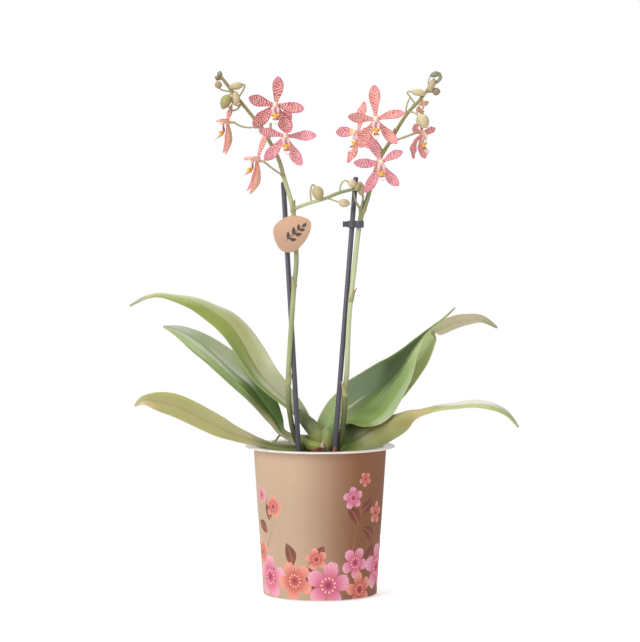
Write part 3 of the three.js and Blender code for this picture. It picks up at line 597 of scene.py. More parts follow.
LEAVES = {
    "leaf_left_top": [
        [-5, 4, 128.5, 5, 38, 40], [-11, 5, 134, 6.5, 38, 40], [-20.8, 7, 148.3, 8.2, 30, 34],
        [-37.7, 10, 164.7, 11.9, 28, 32], [-48.9, 12, 177, 13.6, 28, 32], [-64.8, 13.5, 205.2, 13, 36, 6],
        [-74.6, 14, 217.4, 12.2, 40, -4], [-86.5, 13, 225.4, 9.6, 42, -8], [-100, 12, 232.4, 7.6, 48, -6],
        [-116, 11, 236.8, 5.2, 55, 0], [-128.8, 10, 239.4, 3.4, 62, 0], [-139.9, 9, 237.6, 2.1, 60, 4],
        [-152.7, 8, 231.2, 0.8, 60, 4],
    ],
    "leaf_left_middle": [
        [-9, 3, 123.5, 4, 35, 35], [-21.5, 5, 124.8, 3.8, 35, 10], [-31, 6, 129.8, 3.7, 35, 4],
        [-36.2, 8, 139.2, 7.5, 35, 6], [-43.8, 11, 149.3, 11, 32, 22], [-56.6, 14.5, 165.7, 14, 30, 20],
        [-71.1, 17, 178.2, 14.2, 30, 22], [-84.7, 19, 190.5, 11.8, 30, 10],
        [-98.3, 20, 201.5, 10.6, 38, -6], [-113.2, 21, 209.8, 6.3, 40, -8],
        [-126.5, 21, 213.6, 0.8, 40, -4],
    ],
    "leaf_left_low": [
        [-9, -2, 116.4, 3.2, 30, 20], [-24.1, -7, 117.4, 3.2, 30, 20], [-39.2, -13, 120.2, 3.3, 30, 18],
        [-49.4, -19, 124, 3.8, 28, 14], [-56.6, -23, 126.6, 4.8, 26, 12], [-69, -28, 131.7, 6.8, 26, 10],
        [-82, -32, 138.2, 9, 26, 8], [-109.4, -37, 152.4, 9.7, 26, 6], [-126, -39, 157.4, 8.5, 28, 6],
        [-138.5, -40, 158.9, 4.2, 30, 4], [-145.9, -40, 154.5, 0.8, 30, 4],
    ],
    "leaf_right_big": [
        [5, 5, 128.5, 9, 40, 40], [8.4, 6, 132.2, 13.5, 38, 38], [19.1, 8, 140.4, 19.4, 38, 40],
        [30.2, 9, 146.3, 23.8, 28, 28], [44, 9.5, 156, 24.2, 21, 21], [61.6, 10, 175.2, 17.6, 24, 24],
        [73.4, 11, 193.4, 7.3, 20, 18], [85.6, 12.5, 208.8, 2.2, 20, 10], [98, 13.5, 219.2, 1, 24, 6],
        [108.5, 14.5, 229.3, 0.4, 24, 6],
    ],
    "leaf_right_behind": [
        [4, 7.5, 122.5, 3.2, 15, 30], [24, 18, 136.5, 6.6, 15, 26], [46.5, 22, 150, 10.6, 15, 18],
        [59.8, 24, 164, 12.3, 17, 12], [77, 26, 188, 12.5, 22, 8], [88.4, 27, 203.2, 9.6, 46, 6],
        [91.6, 27, 207.2, 9.6, 68, 4], [94, 26.6, 209.8, 10, 124, 4], [108, 26, 216, 8.4, 132, 4],
        [119.5, 25, 218.8, 7, 132, 4], [130.8, 24, 219.2, 5, 130, 4], [143.2, 23, 212.8, 0.8, 126, 4],
    ],
    "leaf_right_low": [
        [9, 0, 118.6, 4.4, 30, 30], [24.5, 0.5, 122.4, 11.5, 26, 20], [40.4, 0, 132.4, 15.6, 26, -12],
        [55.8, -3, 139.8, 15.2, 40, -44], [68.9, -9, 145.6, 11.4, 50, -40], [79.9, -14, 148.3, 6, 66, -22],
        [93.3, -18, 150.9, 5.9, 74, 0], [106.7, -21, 152.8, 6.3, 70, 2], [122.5, -24, 154.6, 7, 69, 2],
        [135.8, -26, 152.8, 5.8, 66, 2], [147.6, -27, 147.3, 3.8, 61, 4], [157.4, -28, 136.8, 0.6, 58, 4],
    ],
}

# Flower stems: rows of x, y, z and radius, from the crown to the tip

LEFT_STEM = [
    [-14.5, -7, 117, 2.2], [-20.8, -11, 130, 2.2], [-25, -13, 155, 2.1], [-25, -16, 181, 2],
    [-23, -19.8, 213.2, 2], [-20.8, -21.5, 245, 1.9], [-18.8, -22, 267.2, 1.9], [-19.6, -22, 288.6, 1.9],
    [-21.6, -22, 310, 1.9], [-27.5, -21.5, 330.6, 1.7], [-33.5, -20.5, 350.4, 1.6],
    [-44.2, -20, 369.4, 1.5], [-53.3, -20, 382.1, 1.4], [-67, -20, 399, 1.4], [-78.6, -20, 414, 1.2],
]
LEFT_BRANCH = [
    [-21.4, -22, 309, 1.6], [-10.5, -23, 313.1, 1.4], [3, -24, 317.1, 1.4], [15.6, -24.5, 322.1, 1.4],
    [26.5, -25, 324.8, 1.3],
]
RIGHT_STEM = [
    [12.4, -9, 115, 2.3], [16.8, -12.6, 125, 2.3], [19.2, -15, 145.2, 2.1], [20, -16.5, 165.2, 2.1],
    [21.4, -18, 181.2, 2], [22.2, -19.4, 205, 1.9], [23.6, -19.6, 228.8, 1.9], [27, -19, 260.6, 1.9],
    [31.5, -17, 297.2, 1.9], [37.3, -18, 316.3, 1.8], [45.4, -18, 344, 1.6], [54.9, -18, 361.7, 1.5],
    [67.8, -18, 382.9, 1.4], [79.2, -18, 395.6, 1.3], [89.5, -18, 409.6, 1],
]
RIGHT_BRANCH = [
    [31.4, -17.4, 300.5, 1.2], [31.6, -19.5, 308.5, 1.1], [28.4, -22, 315, 0.8], [26.6, -23.2, 322, 0.7],
]
STEMS = {"left": LEFT_STEM, "right": RIGHT_STEM}

# Bracts: where along the stem (0 to 1), to which side (degrees round Z, 0 is +X) and how large

LEFT_BRACTS = [[0.187, -20, 1.15], [0.366, 200, 1], [0.565, -30, 1], [0.79, 190, 0.9]]
RIGHT_BRACTS = [[0.2, 200, 1.35], [0.448, -10, 1.25], [0.61, 160, 1], [0.8, 200, 0.9]]

# Buds: middle, way the tip points, length, width, a tone from 0, grey green, over olive and cream to 1,
# brown, the route of the stalk to its stem and, where the stalk is coloured like its bud, its radius

LEFT_BUDS = [
    ([-79.1, -20, 415.6], [0, 0, 1], 5, 4.2, 0, [[-78.4, -20, 411.8]]),
    ([-81, -21, 412.4], [-0.8, 0, 0.35], 4.2, 3.8, 1, [[-78, -20, 411]]),
    ([-80.2, -23, 407.2], [-0.35, 0, 1], 6.2, 5.6, 0.86, [[-77.4, -22, 402.9], [-69.6, -20, 401.4]]),
    (
        [-66.2, -26, 405.9], [-1, 0, -0.2], 10.8, 5.9, 0.5,
        [[-59.3, -25, 406.8], [-60.4, -23, 403], [-64, -20, 397.4]],
    ),
    ([-66.6, -26, 396.4], [0.05, 0, 1], 11, 7.1, 0.58, [[-64.8, -25, 390.4], [-62.2, -21, 392.6]]),
    ([-74.3, -30, 393.2], [-0.45, 0, -1], 11.8, 8.4, 0.3, [[-70, -27, 399.8], [-67.8, -20, 400]]),
    (
        [-1.6, -24, 321.4], [0.25, 0, -1], 11.4, 9.2, 0.5,
        [[-6, -24, 328.2], [-7.6, -23.6, 322], [-6.6, -23.4, 314.4]],
    ),
    ([19.4, -26, 313.8], [1, 0, -0.1], 8.6, 6.6, 0.74, [[12.4, -25, 315.4], [5, -24.1, 317.8]]),
    (
        [26, -26.5, 329], [1, 0, -0.3], 7.4, 6.2, 0.7,
        [[19.6, -26, 331.6], [16.4, -25, 328], [15.4, -24.5, 322]],
    ),
    ([29.6, -27.5, 326.6], [0.5, 0, 1], 6, 4.4, 0.28, [[26.2, -25, 324.7]]),
]
RIGHT_BUDS = [
    (
        [90.4, -20, 415.2], [-1, 0, -0.3], 7.8, 4.7, 0,
        [[94.2, -20, 415.2], [95.1, -19.6, 412.8], [93.4, -19.2, 410.2], [91, -19, 408.6]], 1.4,
    ),
    ([88.2, -21, 407.2], [0.4, 0, 0.91], 10.6, 5.6, 0.8, [[85.2, -18, 401]]),
    ([91.9, -19, 401.8], [1, 0, 0.1], 6.2, 6.2, 0.9, [[85.4, -18, 401.2]]),
    (
        [78.3, -22, 400.9], [1, 0, -0.14], 12, 5.7, 0.62,
        [[69.6, -21, 401.7], [68.9, -21, 400.4], [70.6, -20.4, 398.2], [74.8, -18.2, 392.6]],
    ),
    (
        [80.4, -47, 377.8], [0.6, 0, -0.8], 11.4, 10.2, 0.64,
        [[75.6, -40, 383.3], [73.4, -26, 385.4], [70, -18, 385.4]],
    ),
    ([32.2, -24, 325.6], [-0.15, 0, 1], 10.6, 6.4, 0.84, [[34, -21.8, 317.6], [32, -19.4, 308.2]], 0.9),
]

# Stalks without a bud or bloom

LEFT_STALKS = [
    [[-62.2, -20, 392, 0.8], [-65.2, -21.5, 388, 0.75], [-69, -22, 386.8, 0.75], [-72, -22, 389.8, 0.6]],
    [[-40.6, -20, 363.5, 1.4], [-39.7, -21, 370, 1.3], [-38.8, -22, 376.8, 1.1]],
]
RIGHT_STALKS = [
    [[67.5, -18, 382.5, 0.8], [68.6, -19, 391, 0.7], [71, -20, 397, 0.6]],
    [[85.6, -18, 404.5, 0.6], [85.8, -19, 411, 0.5], [88.6, -20, 415.2, 0.5]],
]

# Blooms: stem, tone, the stem's share where the stalk leaves it, middle, turn to the right and nod upwards. A
# fan holds the dorsal sepal, right and left petal, right and left lateral sepal, each as the angle from the
# flower's right, length and half width. Faces turn them, bow scales how far their middles bow back, and bare
# is the one whose root has no bars. Sag and stalk are how far the stalk hangs and how thick it is.

Bloom = namedtuple(
    "Bloom", "stem tone root at turn nod fan size sag stalk faces bow bare",
    defaults=(1, 0, 1, (0, 0, 0, 0, 0), 1, None),
)
BLOOMS = [
    Bloom(
        "left", "rose", 0.8, [-34.7, -50, 390.5], 0, 4,
        [[85, 21.6, 4.5], [-9, 21.4, 4.5], [166, 20, 4.4], [-62, 23, 5.4], [-138, 22.6, 5.3]],
    ),
    Bloom(
        "left", "lilac", 0.735, [-26.9, -42, 366.5], 4, 6,
        [[86, 22, 4.2], [-1, 22.2, 3.9], [172, 20.4, 3.5], [-62, 25, 4.3], [-131, 24.2, 4.5]],
    ),
    Bloom(
        "left", "salmon", 0.815, [-73.1, -22, 377.6], -84, 2,
        [[86, 13.4, 2.6], [4, 21, 3.2], [176, 21, 3.2], [-68, 26.6, 3.5], [-112, 25, 3.2]],
        sag=7, stalk=0.72, faces=(-44, 68, 68, -56, -46), bow=0.5,
    ),
    Bloom(
        "left", "salmon", 0.66, [-49.4, -34, 347.6], -80, 11,
        [[95, 22, 2.8], [2, 21, 4], [178, 21, 4], [-68, 28.4, 3.8], [-114, 26, 3.4]],
        sag=6, stalk=0.8, faces=(48, 62, 62, -58, -44), bow=0.7,
    ),
    Bloom(
        "right", "salmon", 0.79, [43.4, -54, 379.4], 2, 0,
        [[92, 25.6, 4.3], [12, 21.4, 3.6], [175, 20.8, 3.9], [-49, 23.6, 3.9], [-120, 24, 4.7]],
    ),
    Bloom(
        "right", "salmon", 0.745, [30.3, -24, 369.5], -46, 2,
        [[87, 24, 4.6], [4, 17, 4], [179, 18.2, 4.4], [-46, 16, 4.2], [-114, 25.6, 4.6]],
        size=0.98, bare=2,
    ),
    Bloom(
        "right", "lilac", 0.68, [47.6, -46, 345.6], 4, 8,
        [[110, 20, 4.2], [26, 17.2, 3.4], [182, 20.6, 4], [-53, 21.4, 4], [-119, 25.6, 4.2]],
    ),
    # This bloom's tone is painted light: a lighter pink for a flower that turns away from the key light.
    Bloom(
        "right", "painted_lit_pink", 0.785, [79.8, -38, 368.4], 46, -12,
        [[90, 15, 3.8], [36, 9.5, 3.2], [159, 22, 4], [-68, 22.4, 4.6], [-112, 22.4, 4.4]],
        size=0.9, sag=4,
    ),
    Bloom(
        "right", "cream", 0.895, [80.2, -8, 391.8], 66, -14,
        [[96, 13, 5], [20, 11, 4], [150, 12, 4.2], [-62, 13, 4.2], [-118, 14, 4.4]], size=0.62, sag=3,
    ),
]
# The tone of the eighth bloom is a lighter copy of the salmon pink, painted light for a flower turned away
# from the key light.
TEPAL_TONES = {
    "rose": "#c0566a", "lilac": "#d87592", "salmon": "#d9757a", "painted_lit_pink": "#de7c84", "cream": "#dda873",
}
BAR_TURNS = 3.5

# How far each tepal's tip lies back and its middle bows back
TEPAL_BACKS = [[3.5, 0.5], [-7, 0.5], [-7, 0.5], [-2, 4], [-2, 4]]

TEPAL_OUTLINE = [
    [0, 0.34], [0.17, 0.46], [0.34, 0.7], [0.52, 0.94], [0.69, 1], [0.84, 0.8], [0.945, 0.46], [1, 0.08],
]
POINTED_OUTLINE = [
    [0, 0.42], [0.16, 0.66], [0.32, 0.92], [0.48, 1], [0.64, 0.84], [0.8, 0.52], [0.92, 0.26], [1, 0.05],
]
TEPAL_ROOT = 1.2
TEPAL_FOLD = 12
TURNED_TEPAL_FOLD = 4

# How much tepals differ: sideways bend, twist in degrees, curl of the tip and width
TEPAL_SPREADS = (0.6, 13, 1.1, 0.05)

TEPAL_ACROSS = np.array([0, 0.08, 0.2, 0.36, 0.54, 0.72, 0.87, 0.96, 1])

# Column and lip in a bloom's own frame, which looks to -Y: limbs as x, y, z and radius, blades as leaves are

COLUMN = [
    [0, 1, 0.6, 2.2], [0, -1.4, 0.7, 2], [0, -3.2, 0.4, 1.8], [0, -4.6, -0.4, 1.6], [0, -5.4, -1.2, 1.2],
]
ANTHER_CAP = [[0, -4.4, -0.2, 0.5], [0, -5.3, -0.9, 1.5], [0, -6.1, -1.7, 0.4]]
COLUMN_FOOT = [[0, -3.4, -1, 1.2], [0, -3.2, -3.4, 0.95], [0, -2.4, -6.6, 0.8], [0, -2.6, -8, 0.5]]
COLUMN_WING = [
    [1, -3.6, -1, 0.5, 0, 0], [1.8, -4, -2.4, 1, 0, 0], [2.1, -4, -4.4, 1.05, 0, 0],
    [1.6, -3.6, -6.4, 0.35, 0, 0],
]
NECK = [[0, 0, 0, 1.7], [0, 2.4, 0, 1.25], [0, NECK_LENGTH, 0, NECK_RADIUS]]
LIP_MIDDLE = [
    [0, -2.4, -7, 0.9, 0, 0], [0, -3.6, -9.4, 1.1, 0, 16], [0, -5.4, -11.4, 1.7, 0, 14],
    [0, -7.8, -13, 2.7, 0, 10], [0, -9.6, -14.4, 2.5, 0, 4], [0, -10.8, -15.8, 0.5, 0, 0],
]
LIP_SIDE = [
    [0.3, -2.8, -9.2, 0.8, 10, 0], [1.2, -3.4, -8.8, 1.3, 20, 0], [2.1, -4.4, -7.9, 1.2, 34, 0],
    [2.6, -5.4, -6.8, 0.4, 40, 0],
]
LIP_CALLUS = [[0, -2.6, -7.2, 0.8], [0, -3.8, -8.6, 1.7], [0, -4.8, -10.2, 1.5], [0, -5.6, -11.4, 0.5]]
LIP_HORN = [[0.5, -4.4, -8.4, 0.8], [0.9, -5.6, -8.4, 0.6], [1.3, -6.6, -7.8, 0.15]]

# Share along a bud and its width there

BUD_OUTLINE = [
    [-0.03, 0.12], [0, 0.4], [0.13, 0.76], [0.32, 1], [0.5, 1],
    [0.68, 0.9], [0.86, 0.58], [0.97, 0.26], [1.02, 0.08],
]

# Tag outline in its own plane, seen from the front, from the top right clockwise

TAG_MIDDLE = [-21, -26.6, 289.5]
TAG_CORNERS = [[13.6, 9.6], [12, -1], [1, -13.6], [-9, -13.4], [-15.2, -3], [-15, 6], [-4, 14], [7, 13.6]]

# Lobes that melt into the crown: middle, size and lean

CROWN_LOBES = [
    ([0, 1, 119.5], [9, 8, 12], 0), ([-2, -2.5, 125.5], [6.4, 5.4, 8.6], -38),
    ([6.4, -2.5, 124.5], [5.6, 5.4, 10], 14), ([-7, -3, 119.4], [6.6, 4.8, 4.4], 8),
]

# Roots: four in the bark, an aerial one, three that lie on the bark, and a twig

ROOTS = [
    [[0, 3, 114, 3], [10, 16, 106, 2.6], [20, 27, 88, 2.4], [17, 31, 62, 2]],
    [[-2, 3, 114, 3], [-14, 14, 105, 2.6], [-26, 20, 85, 2.4], [-28, 22, 58, 2]],
    [[3, -2, 113, 3], [14, -2, 104, 2.6], [30, -8, 90, 2.4], [34, -12, 66, 2]],
    [[-1, -4, 113, 3], [-3, -16, 105, 2.6], [-2, -28, 86, 2.4], [4, -30, 60, 2]],
    [
        [-5, 7, 119, 1.4], [-20, 13, 122, 1.3], [-31, 9, 126.6, 0.9], [-35.2, 5, 123.4, 0.9],
        [-37.6, 3, 119.8, 1.9], [-39, 2, 109, 1.6],
    ],
    [[6, 6, 114, 2.2], [20, 20, 115.2, 2.3], [34, 24, 113.6, 2.1], [42, 20, 109, 1.8]],
    [[-2, 7, 114, 2.2], [-8, 24, 115, 2.2], [-4, 38, 113.4, 2], [2, 44, 108.5, 1.7]],
    [[-5, -4, 113, 2], [-22, -18, 113.4, 2], [-30, -30, 112, 1.8], [-31, -36, 107, 1.6]],
    [[-24.6, 8, 108.5, 0.4], [-24.3, 7.6, 117, 0.4], [-24.8, 7, 122.4, 0.25]],
]

# Sprig printed on the tag: x, z, turn, length and half width of each leaf, from the tag's middle

TAG_SPRIG = [
    (-8, -7.5, 42, 20, 0.35), (-4.6, -4.4, 88, 6.4, 1.5), (-3.6, -3.6, -6, 6.4, 1.5),
    (-0.6, -0.8, 84, 6.6, 1.6), (0.4, 0.1, 0, 6.6, 1.6), (3.2, 2.6, 80, 5.6, 1.4), (4, 3.4, 6, 5.6, 1.4),
    (6.4, 5.4, 42, 5.4, 1.4),
]

# Print on the sleeve, round it from the front and up from the floor. Leaves and twigs: across, up, turn,
# length and half width. Blossoms: across, up, turn, size and 1 for the red kind.

PRINTED_LEAVES = [
    (-70, 6, 62, 66, 0.5), (-47, 62, 96, 18, 4.6), (-50, 52, 150, 17, 4.4), (-44, 10, 118, 26, 5.6),
    (-24, 26, 104, 21, 5), (-10, 30, 48, 20, 5), (-2, 6, 118, 26, 5.6), (20, 4, 78, 78, 0.5),
    (33, 60, 126, 19, 4.6), (34, 70, 40, 17, 4.2), (36, 24, 50, 27, 5.6), (58, 6, 96, 60, 0.5),
    (52, 46, 142, 19, 4.8), (54, 56, 52, 18, 4.4), (82, 26, 118, 24, 5.4), (98, 8, 62, 56, 0.5),
    (121, 50, 96, 18, 4.6), (124, 30, 40, 22, 5), (150, 26, 104, 23, 5.2), (-134, 6, 100, 60, 0.5),
    (-142, 56, 134, 18, 4.6), (-142, 62, 62, 17, 4.2), (-112, 28, 62, 23, 5.2), (-92, 26, 120, 22, 5.2),
]
PRINTED_BLOSSOMS = [
    (-41, 74, 10, 9, 1), (-57, 82, 40, 7, 0), (-62, 36, 22, 11, 1), (-50, 17, 14, 18, 0),
    (-22, 16, 46, 16, 1), (-3, 34, 30, 9, 1), (7, 13, 8, 19, 0), (27, 82, 24, 9, 0), (31, 30, 60, 13, 0),
    (37, 8, 30, 14, 1), (38, 96, 50, 6, 1), (54, 68, 12, 9, 1), (62, 24, 20, 19, 0), (88, 12, 52, 17, 1),
    (78, 46, 34, 9, 0), (112, 26, 16, 18, 0), (123, 66, 40, 10, 1), (136, 10, 58, 15, 1),
    (-152, 22, 30, 18, 0), (-144, 74, 16, 10, 0), (-128, 14, 50, 14, 1), (-104, 20, 12, 19, 0),
    (-84, 50, 44, 9, 0), (-80, 12, 36, 15, 1),
]

# Clasping leaf bases over the crown: rows of a blade, thickness, and colours of the foot and the upper part

SHEATHS = [
    (
        [
            [2.6, -5.6, 121.5, 5, 5, -24], [-1.2, -8, 127.8, 6.6, 8, -24], [-6, -7, 134.4, 6.4, 10, -20],
            [-12.6, -2.6, 141, 5, 18, -10], [-18.5, 3, 146.6, 3.4, 25, 0],
        ],
        1.5, "#9da566", "#55643a",
    ),
    (
        [
            [4.6, -6.4, 115, 3.8, -5, -24], [5.6, -9, 121.4, 6, 0, -28], [7.6, -9.4, 129, 7, 0, -26],
            [11, -6, 133.2, 5.8, 8, -16], [15.5, -1, 137.2, 4, 18, 0],
        ],
        1.5, "#a9ab70", "#768d52",
    ),
    (
        [
            [3.6, -6, 115.4, 3.2, -12, -20], [-2, -9, 118.2, 4.6, -5, -26], [-8, -8.4, 120.4, 4.6, 0, -24],
            [-14, -4.6, 122.4, 3.6, 12, -12], [-19, 0, 124, 2.6, 25, 0],
        ],
        1.4, "#a3ab58", "#84924c",
    ),
    (
        [
            [10, 1, 113, 4, 0, -10], [16, 2.4, 120.5, 6.5, 5, -14], [22, 4, 127.5, 7.5, 8, -14],
            [28, 6, 133, 6.5, 12, -8], [34, 9, 138, 4, 16, 0],
        ],
        1.4, "#66783c", "#46532b",
    ),
]
SHEATH_SKIN = [[0.8, -8.6, 114.6, 1.8, 0, 0], [1.4, -10.4, 118.4, 2.4, 0, -16], [2.2, -10, 122.6, 0.7, 8, 0]]

# Larger chips that stand out of the bark: place, size and kind

LARGE_CHIPS = [
    ([-2, -15.5, 117.2], [7.4, 2.4, 3.4], 2), ([11.6, -19, 117], [1.8, 1.4, 3], 3),
    ([5.6, -16, 114], [3.2, 2.2, 2], 0), ([-12, -19, 113.4], [4, 2.4, 1.8], 0),
]

# Greens of each leaf: base, half below v 0, half above v 0, tip, how much painted shade darkens the midrib's
# groove, and patches of other tones that lie over them: share along the leaf, v, reach along, reach across,
# colour and strength. Dark patches are painted shade and shadows, pale grey ones painted sheen and
# highlights, the rest the leaf's own tones; the dark bases of leaf_left_middle and leaf_right_low are painted
# shade too.

LEAF_GREENS = {
    "leaf_left_top": ("#8d9b62", "#929b55", "#abb17c", "#c6b5a0", 0.1, [
        (0.64, -0.6, 0.3, 0.75, "#8b9a47", 0.8), (0.25, -0.36, 0.13, 0.36, "#c3c2ad", 0.85),
        (0.3, -0.85, 0.2, 0.25, "#7f9a5e", 0.7), (0.2, 0.45, 0.22, 0.6, "#aeb094", 0.7),
        (0.62, 0.95, 0.42, 0.4, "#c3c3a6", 0.7), (0.46, 0.3, 0.14, 0.5, "#acaa6c", 0.5),
        (0.03, 0, 0.1, 1.4, "#5d7238", 0.8), (1, 0, 0.1, 2, "#8f9379", 0.9),
    ]),
    # Its dark base and the dark patches near it are painted shade from the leaf above.
    "leaf_left_middle": ("#55692f", "#90a36b", "#97a17c", "#abb09a", 0.3, [
        (0.38, 0.4, 0.2, 1.3, "#4b6227", 0.95), (0.36, -0.3, 0.18, 0.8, "#4c6428", 0.9),
        (0.2, -0.8, 0.26, 0.6, "#b0a883", 0.9), (0.08, 0, 0.13, 1.4, "#8d9268", 0.9),
        (0.62, 0.14, 0.13, 0.26, "#b9bab4", 0.9), (0.7, -0.3, 0.16, 0.16, "#c2c8b4", 0.85),
        (0.62, -0.6, 0.2, 0.1, "#bcc8a2", 0.85), (0.8, -0.72, 0.16, 0.14, "#b4bf9c", 0.7),
        (0.82, -0.3, 0.22, 0.32, "#b7bfa6", 0.8), (0.62, -0.6, 0.16, 0.26, "#8da266", 0.8),
        (0.72, -0.98, 0.3, 0.14, "#7b8a5e", 0.8), (0.66, 0.5, 0.16, 0.7, "#a5ab8c", 0.8),
        (0.56, 0.75, 0.1, 0.5, "#8ea258", 0.6), (0.94, 0.2, 0.1, 1, "#b3b7a4", 0.7),
        (0.95, -0.8, 0.2, 0.4, "#9db163", 0.7),
    ]),
    "leaf_left_low": ("#8e8f58", "#a7a268", "#a49f6a", "#a8a470", 0.16, [
        (0.02, 0, 0.3, 2, "#66763a", 0.85), (0.36, 0.5, 0.16, 0.8, "#aca183", 0.5),
        (0.36, -0.4, 0.16, 0.8, "#b0a67c", 0.5), (0.9, -0.7, 0.12, 0.6, "#c7ab7d", 0.8),
        (0.75, 0.95, 0.2, 0.3, "#a9ad63", 0.7),
    ]),
    "leaf_right_big": ("#8ba05e", "#647a40", "#72893f", "#8c9a62", 0.05, [
        (0.5, -0.1, 0.2, 0.34, "#4a632a", 0.85), (0.46, 0.16, 0.2, 0.2, "#5f7b36", 0.8),
        (0.62, -0.42, 0.2, 0.62, "#37471f", 0.95), (0.38, -0.7, 0.18, 0.6, "#76896a", 0.9),
        (0.16, -0.7, 0.16, 0.9, "#b6c88c", 0.9), (0.4, 0.1, 0.12, 0.3, "#6c8638", 0.8),
        (0.6, 0.45, 0.16, 0.36, "#7c9152", 0.8), (0.26, -0.2, 0.14, 0.4, "#7b8258", 0.8),
        (0.3, -0.3, 0.14, 0.05, "#b6c09e", 0.75), (0.2, 0.45, 0.2, 0.4, "#7f9852", 0.7),
        (0.58, 0.85, 0.26, 0.26, "#94a670", 0.8), (0.52, 1, 0.16, 0.1, "#b4c09c", 0.6),
        (0.44, 0.6, 0.2, 0.2, "#86a050", 0.5), (0.5, 0.84, 0.16, 0.2, "#a3b488", 0.8),
        (0.75, 0.7, 0.2, 0.6, "#9fae72", 0.8),
    ]),
    "leaf_right_behind": ("#8b9c50", "#9dae64", "#98a762", "#9c9470", 0.25, [
        (0.36, 0, 0.22, 2, "#a9b678", 0.85), (0.8, 0, 0.26, 2, "#b5a585", 0.95),
        (0.74, 0.7, 0.2, 0.4, "#c5b28f", 0.7), (0.66, -0.4, 0.1, 0.6, "#a9a672", 0.7),
        (1, 0, 0.1, 2, "#7d8259", 0.9),
    ]),
    # Its dark base and the dark patch near the crown are painted shade under the big right leaf.
    "leaf_right_low": ("#64793c", "#9f9a63", "#a29a65", "#a7b08a", 0.05, [
        (0.08, -0.5, 0.16, 0.8, "#4c602c", 0.9), (0.26, 0.4, 0.16, 1.2, "#a19c62", 0.85),
        (0.4, -0.5, 0.1, 0.9, "#aea670", 0.7), (0.18, 0.9, 0.16, 0.4, "#8d985c", 0.6),
        (0.46, 0, 0.07, 1.4, "#b9a86a", 0.8), (0.72, -0.6, 0.22, 0.9, "#cfcfc2", 0.95),
        (0.72, 0.8, 0.26, 0.6, "#a8b468", 0.95), (0.92, 0.7, 0.12, 0.6, "#aab77a", 0.8),
    ]),
}


def leaf_finish(name, looks, base, low, high, tip, rib, patches):
    """Strap leaf: its greens, patches of painted sheen, painted shade and own tones, fine veins along it and
    a pale margin.
    """
    finish = Finish(name, specular=0.45, Coat_Weight=0.05, Coat_Roughness=0.5)
    cloud, fine = finish.grains((0.03, 0.09, 1), 4), finish.grains((0.08, 1.1, 1), 3)
    place = (cloud - 0.5).fit(0.12, finish.share)
    beside = (fine - 0.5).fit(0.16, finish.v)
    halves = finish.mix(finish.v.rise(-0.12, 0.12), low, high)
    finish.colour = finish.mix(place.rise(0.06, 0.36), base, halves)
    finish.lay(tip, place.rise(0.74, 1.05))
    # Patches lay painted sheen, painted shade and shadows, and the leaf's own tones over the greens.
    for share, v, reach, width, tone, strength in patches:
        dx, dy = (place - share) * (1 / reach), (beside - v) * (1 / width)
        finish.lay(tone, dx.fit(dx, dy * dy).fall(0, 1.3) * strength)
    finish.shade(cloud.swing(0.88, 1.12), cloud.swing(1.08, 0.92))
    finish.shade(fine.swing(0.95, 1.05))
    veins = fine.fit(2.2, finish.across * 4.6).sum("SINE")
    finish.shade(veins.swing(0.994, 1.012))
    # Painted shade darkens the midrib's groove.
    finish.shade(abs(finish.across).fall(0.12, 0.7).fit(-rib, 1))
    under = finish.mix(0.6, finish.shaded(finish.colour, 1.1, 0.8), "#aaa97c")
    finish.lay(under, finish.third * 0.6)
    finish.lay(looks.margin, abs(finish.v).rise(0.955, 0.99) * 0.55)
    return finish.wear(cloud.swing(0.3, 0.44), veins * 0.4 + fine, 0.05)


def tepal_finish(name, looks, pink, bare=0.0):
    """Sepals and petals: deep pink with wavy pale bars across, solid margins and tips, and a paler back."""
    finish = Finish(name, specular=0.3, Sheen_Weight=0.1, Sheen_Roughness=0.4)
    share, off = finish.share, abs(finish.v)
    cloud, gaps = finish.grains(0.16), finish.grains((0.35, 1.1, 1))
    slant = abs(finish.across).fit(-0.55, finish.length)
    bars = (finish.grains((0.32, 0.55, 1)).fit(3.4, slant) * BAR_TURNS).sum("SINE")
    inside = off.fall(0.72, 0.98) * (1 - share.rise(0.66, 0.95) * 0.8)
    bars = gaps.fit(2.2, bars - 1.35).rise(-0.3, 0.6) * inside
    ground = finish.shaded(pink, cloud.swing(0.88, 1.1), cloud.swing(1.1, 0.9))
    ground = finish.mix(share.rise(0.55, 0.95) * 0.35, ground, "#e58aa6")
    finish.colour = finish.mix(bars * 0.78, ground, looks.bars)
    finish.lay(looks.bars, share.fall(0.01, 0.12) * 0.5)
    if bare:
        finish.lay("#f4cf98", gaps.fit(0.12, share).fall(0.3, 0.46) * bare)
    back = finish.mix(bars * 0.5, looks.back, looks.bars)
    back = finish.mix(cloud.rise(0.45, 0.62) * 0.5, back, "#e9c79a")
    back = finish.mix(off.rise(0.55, 1), back, ground)
    back = finish.mix(share.rise(0.86, 1) * 0.6, back, "#cfc489")
    finish.lay(back, finish.third)
    finish.lay("#e3cf9a", share.rise(0.95, 1) * cloud.rise(0.4, 0.6) * 0.7)
    ribs = (finish.across * 7.5).sum("SINE")
    return finish.wear(cloud.swing(0.42, 0.6), ribs.fit(0.4, bars), 0.2, 0.00015)


def column_finish():
    """Column and anther cap: cream, flushed pink to the sides, with purple at the root."""
    finish = Finish("flower_column", specular=0.35, roughness=0.4)
    cloud = finish.grains(0.7)
    finish.colour = finish.mix(finish.share.rise(0.1, 0.8), "#f4cfc0", "#fbe6c4")
    finish.lay("#eeb3ab", cloud.fit(0.5, finish.v).rise(0.4, 1.2) * 0.5)
    finish.shade(cloud.swing(0.93, 1.05))
    return finish.wear(height=cloud, strength=0.1)


def plain_petal_finish(name, first, second, edge):
    """Small lobes: one colour at the root, another at the tip, and the margin's own."""
    finish = Finish(name, specular=0.35, roughness=0.45)
    cloud = finish.grains(0.9)
    finish.colour = finish.mix(cloud.fit(0.3, finish.share).rise(0.2, 0.9), first, second)
    finish.lay(edge, abs(finish.v).rise(0.7, 1))
    return finish.wear(height=cloud, strength=0.15)


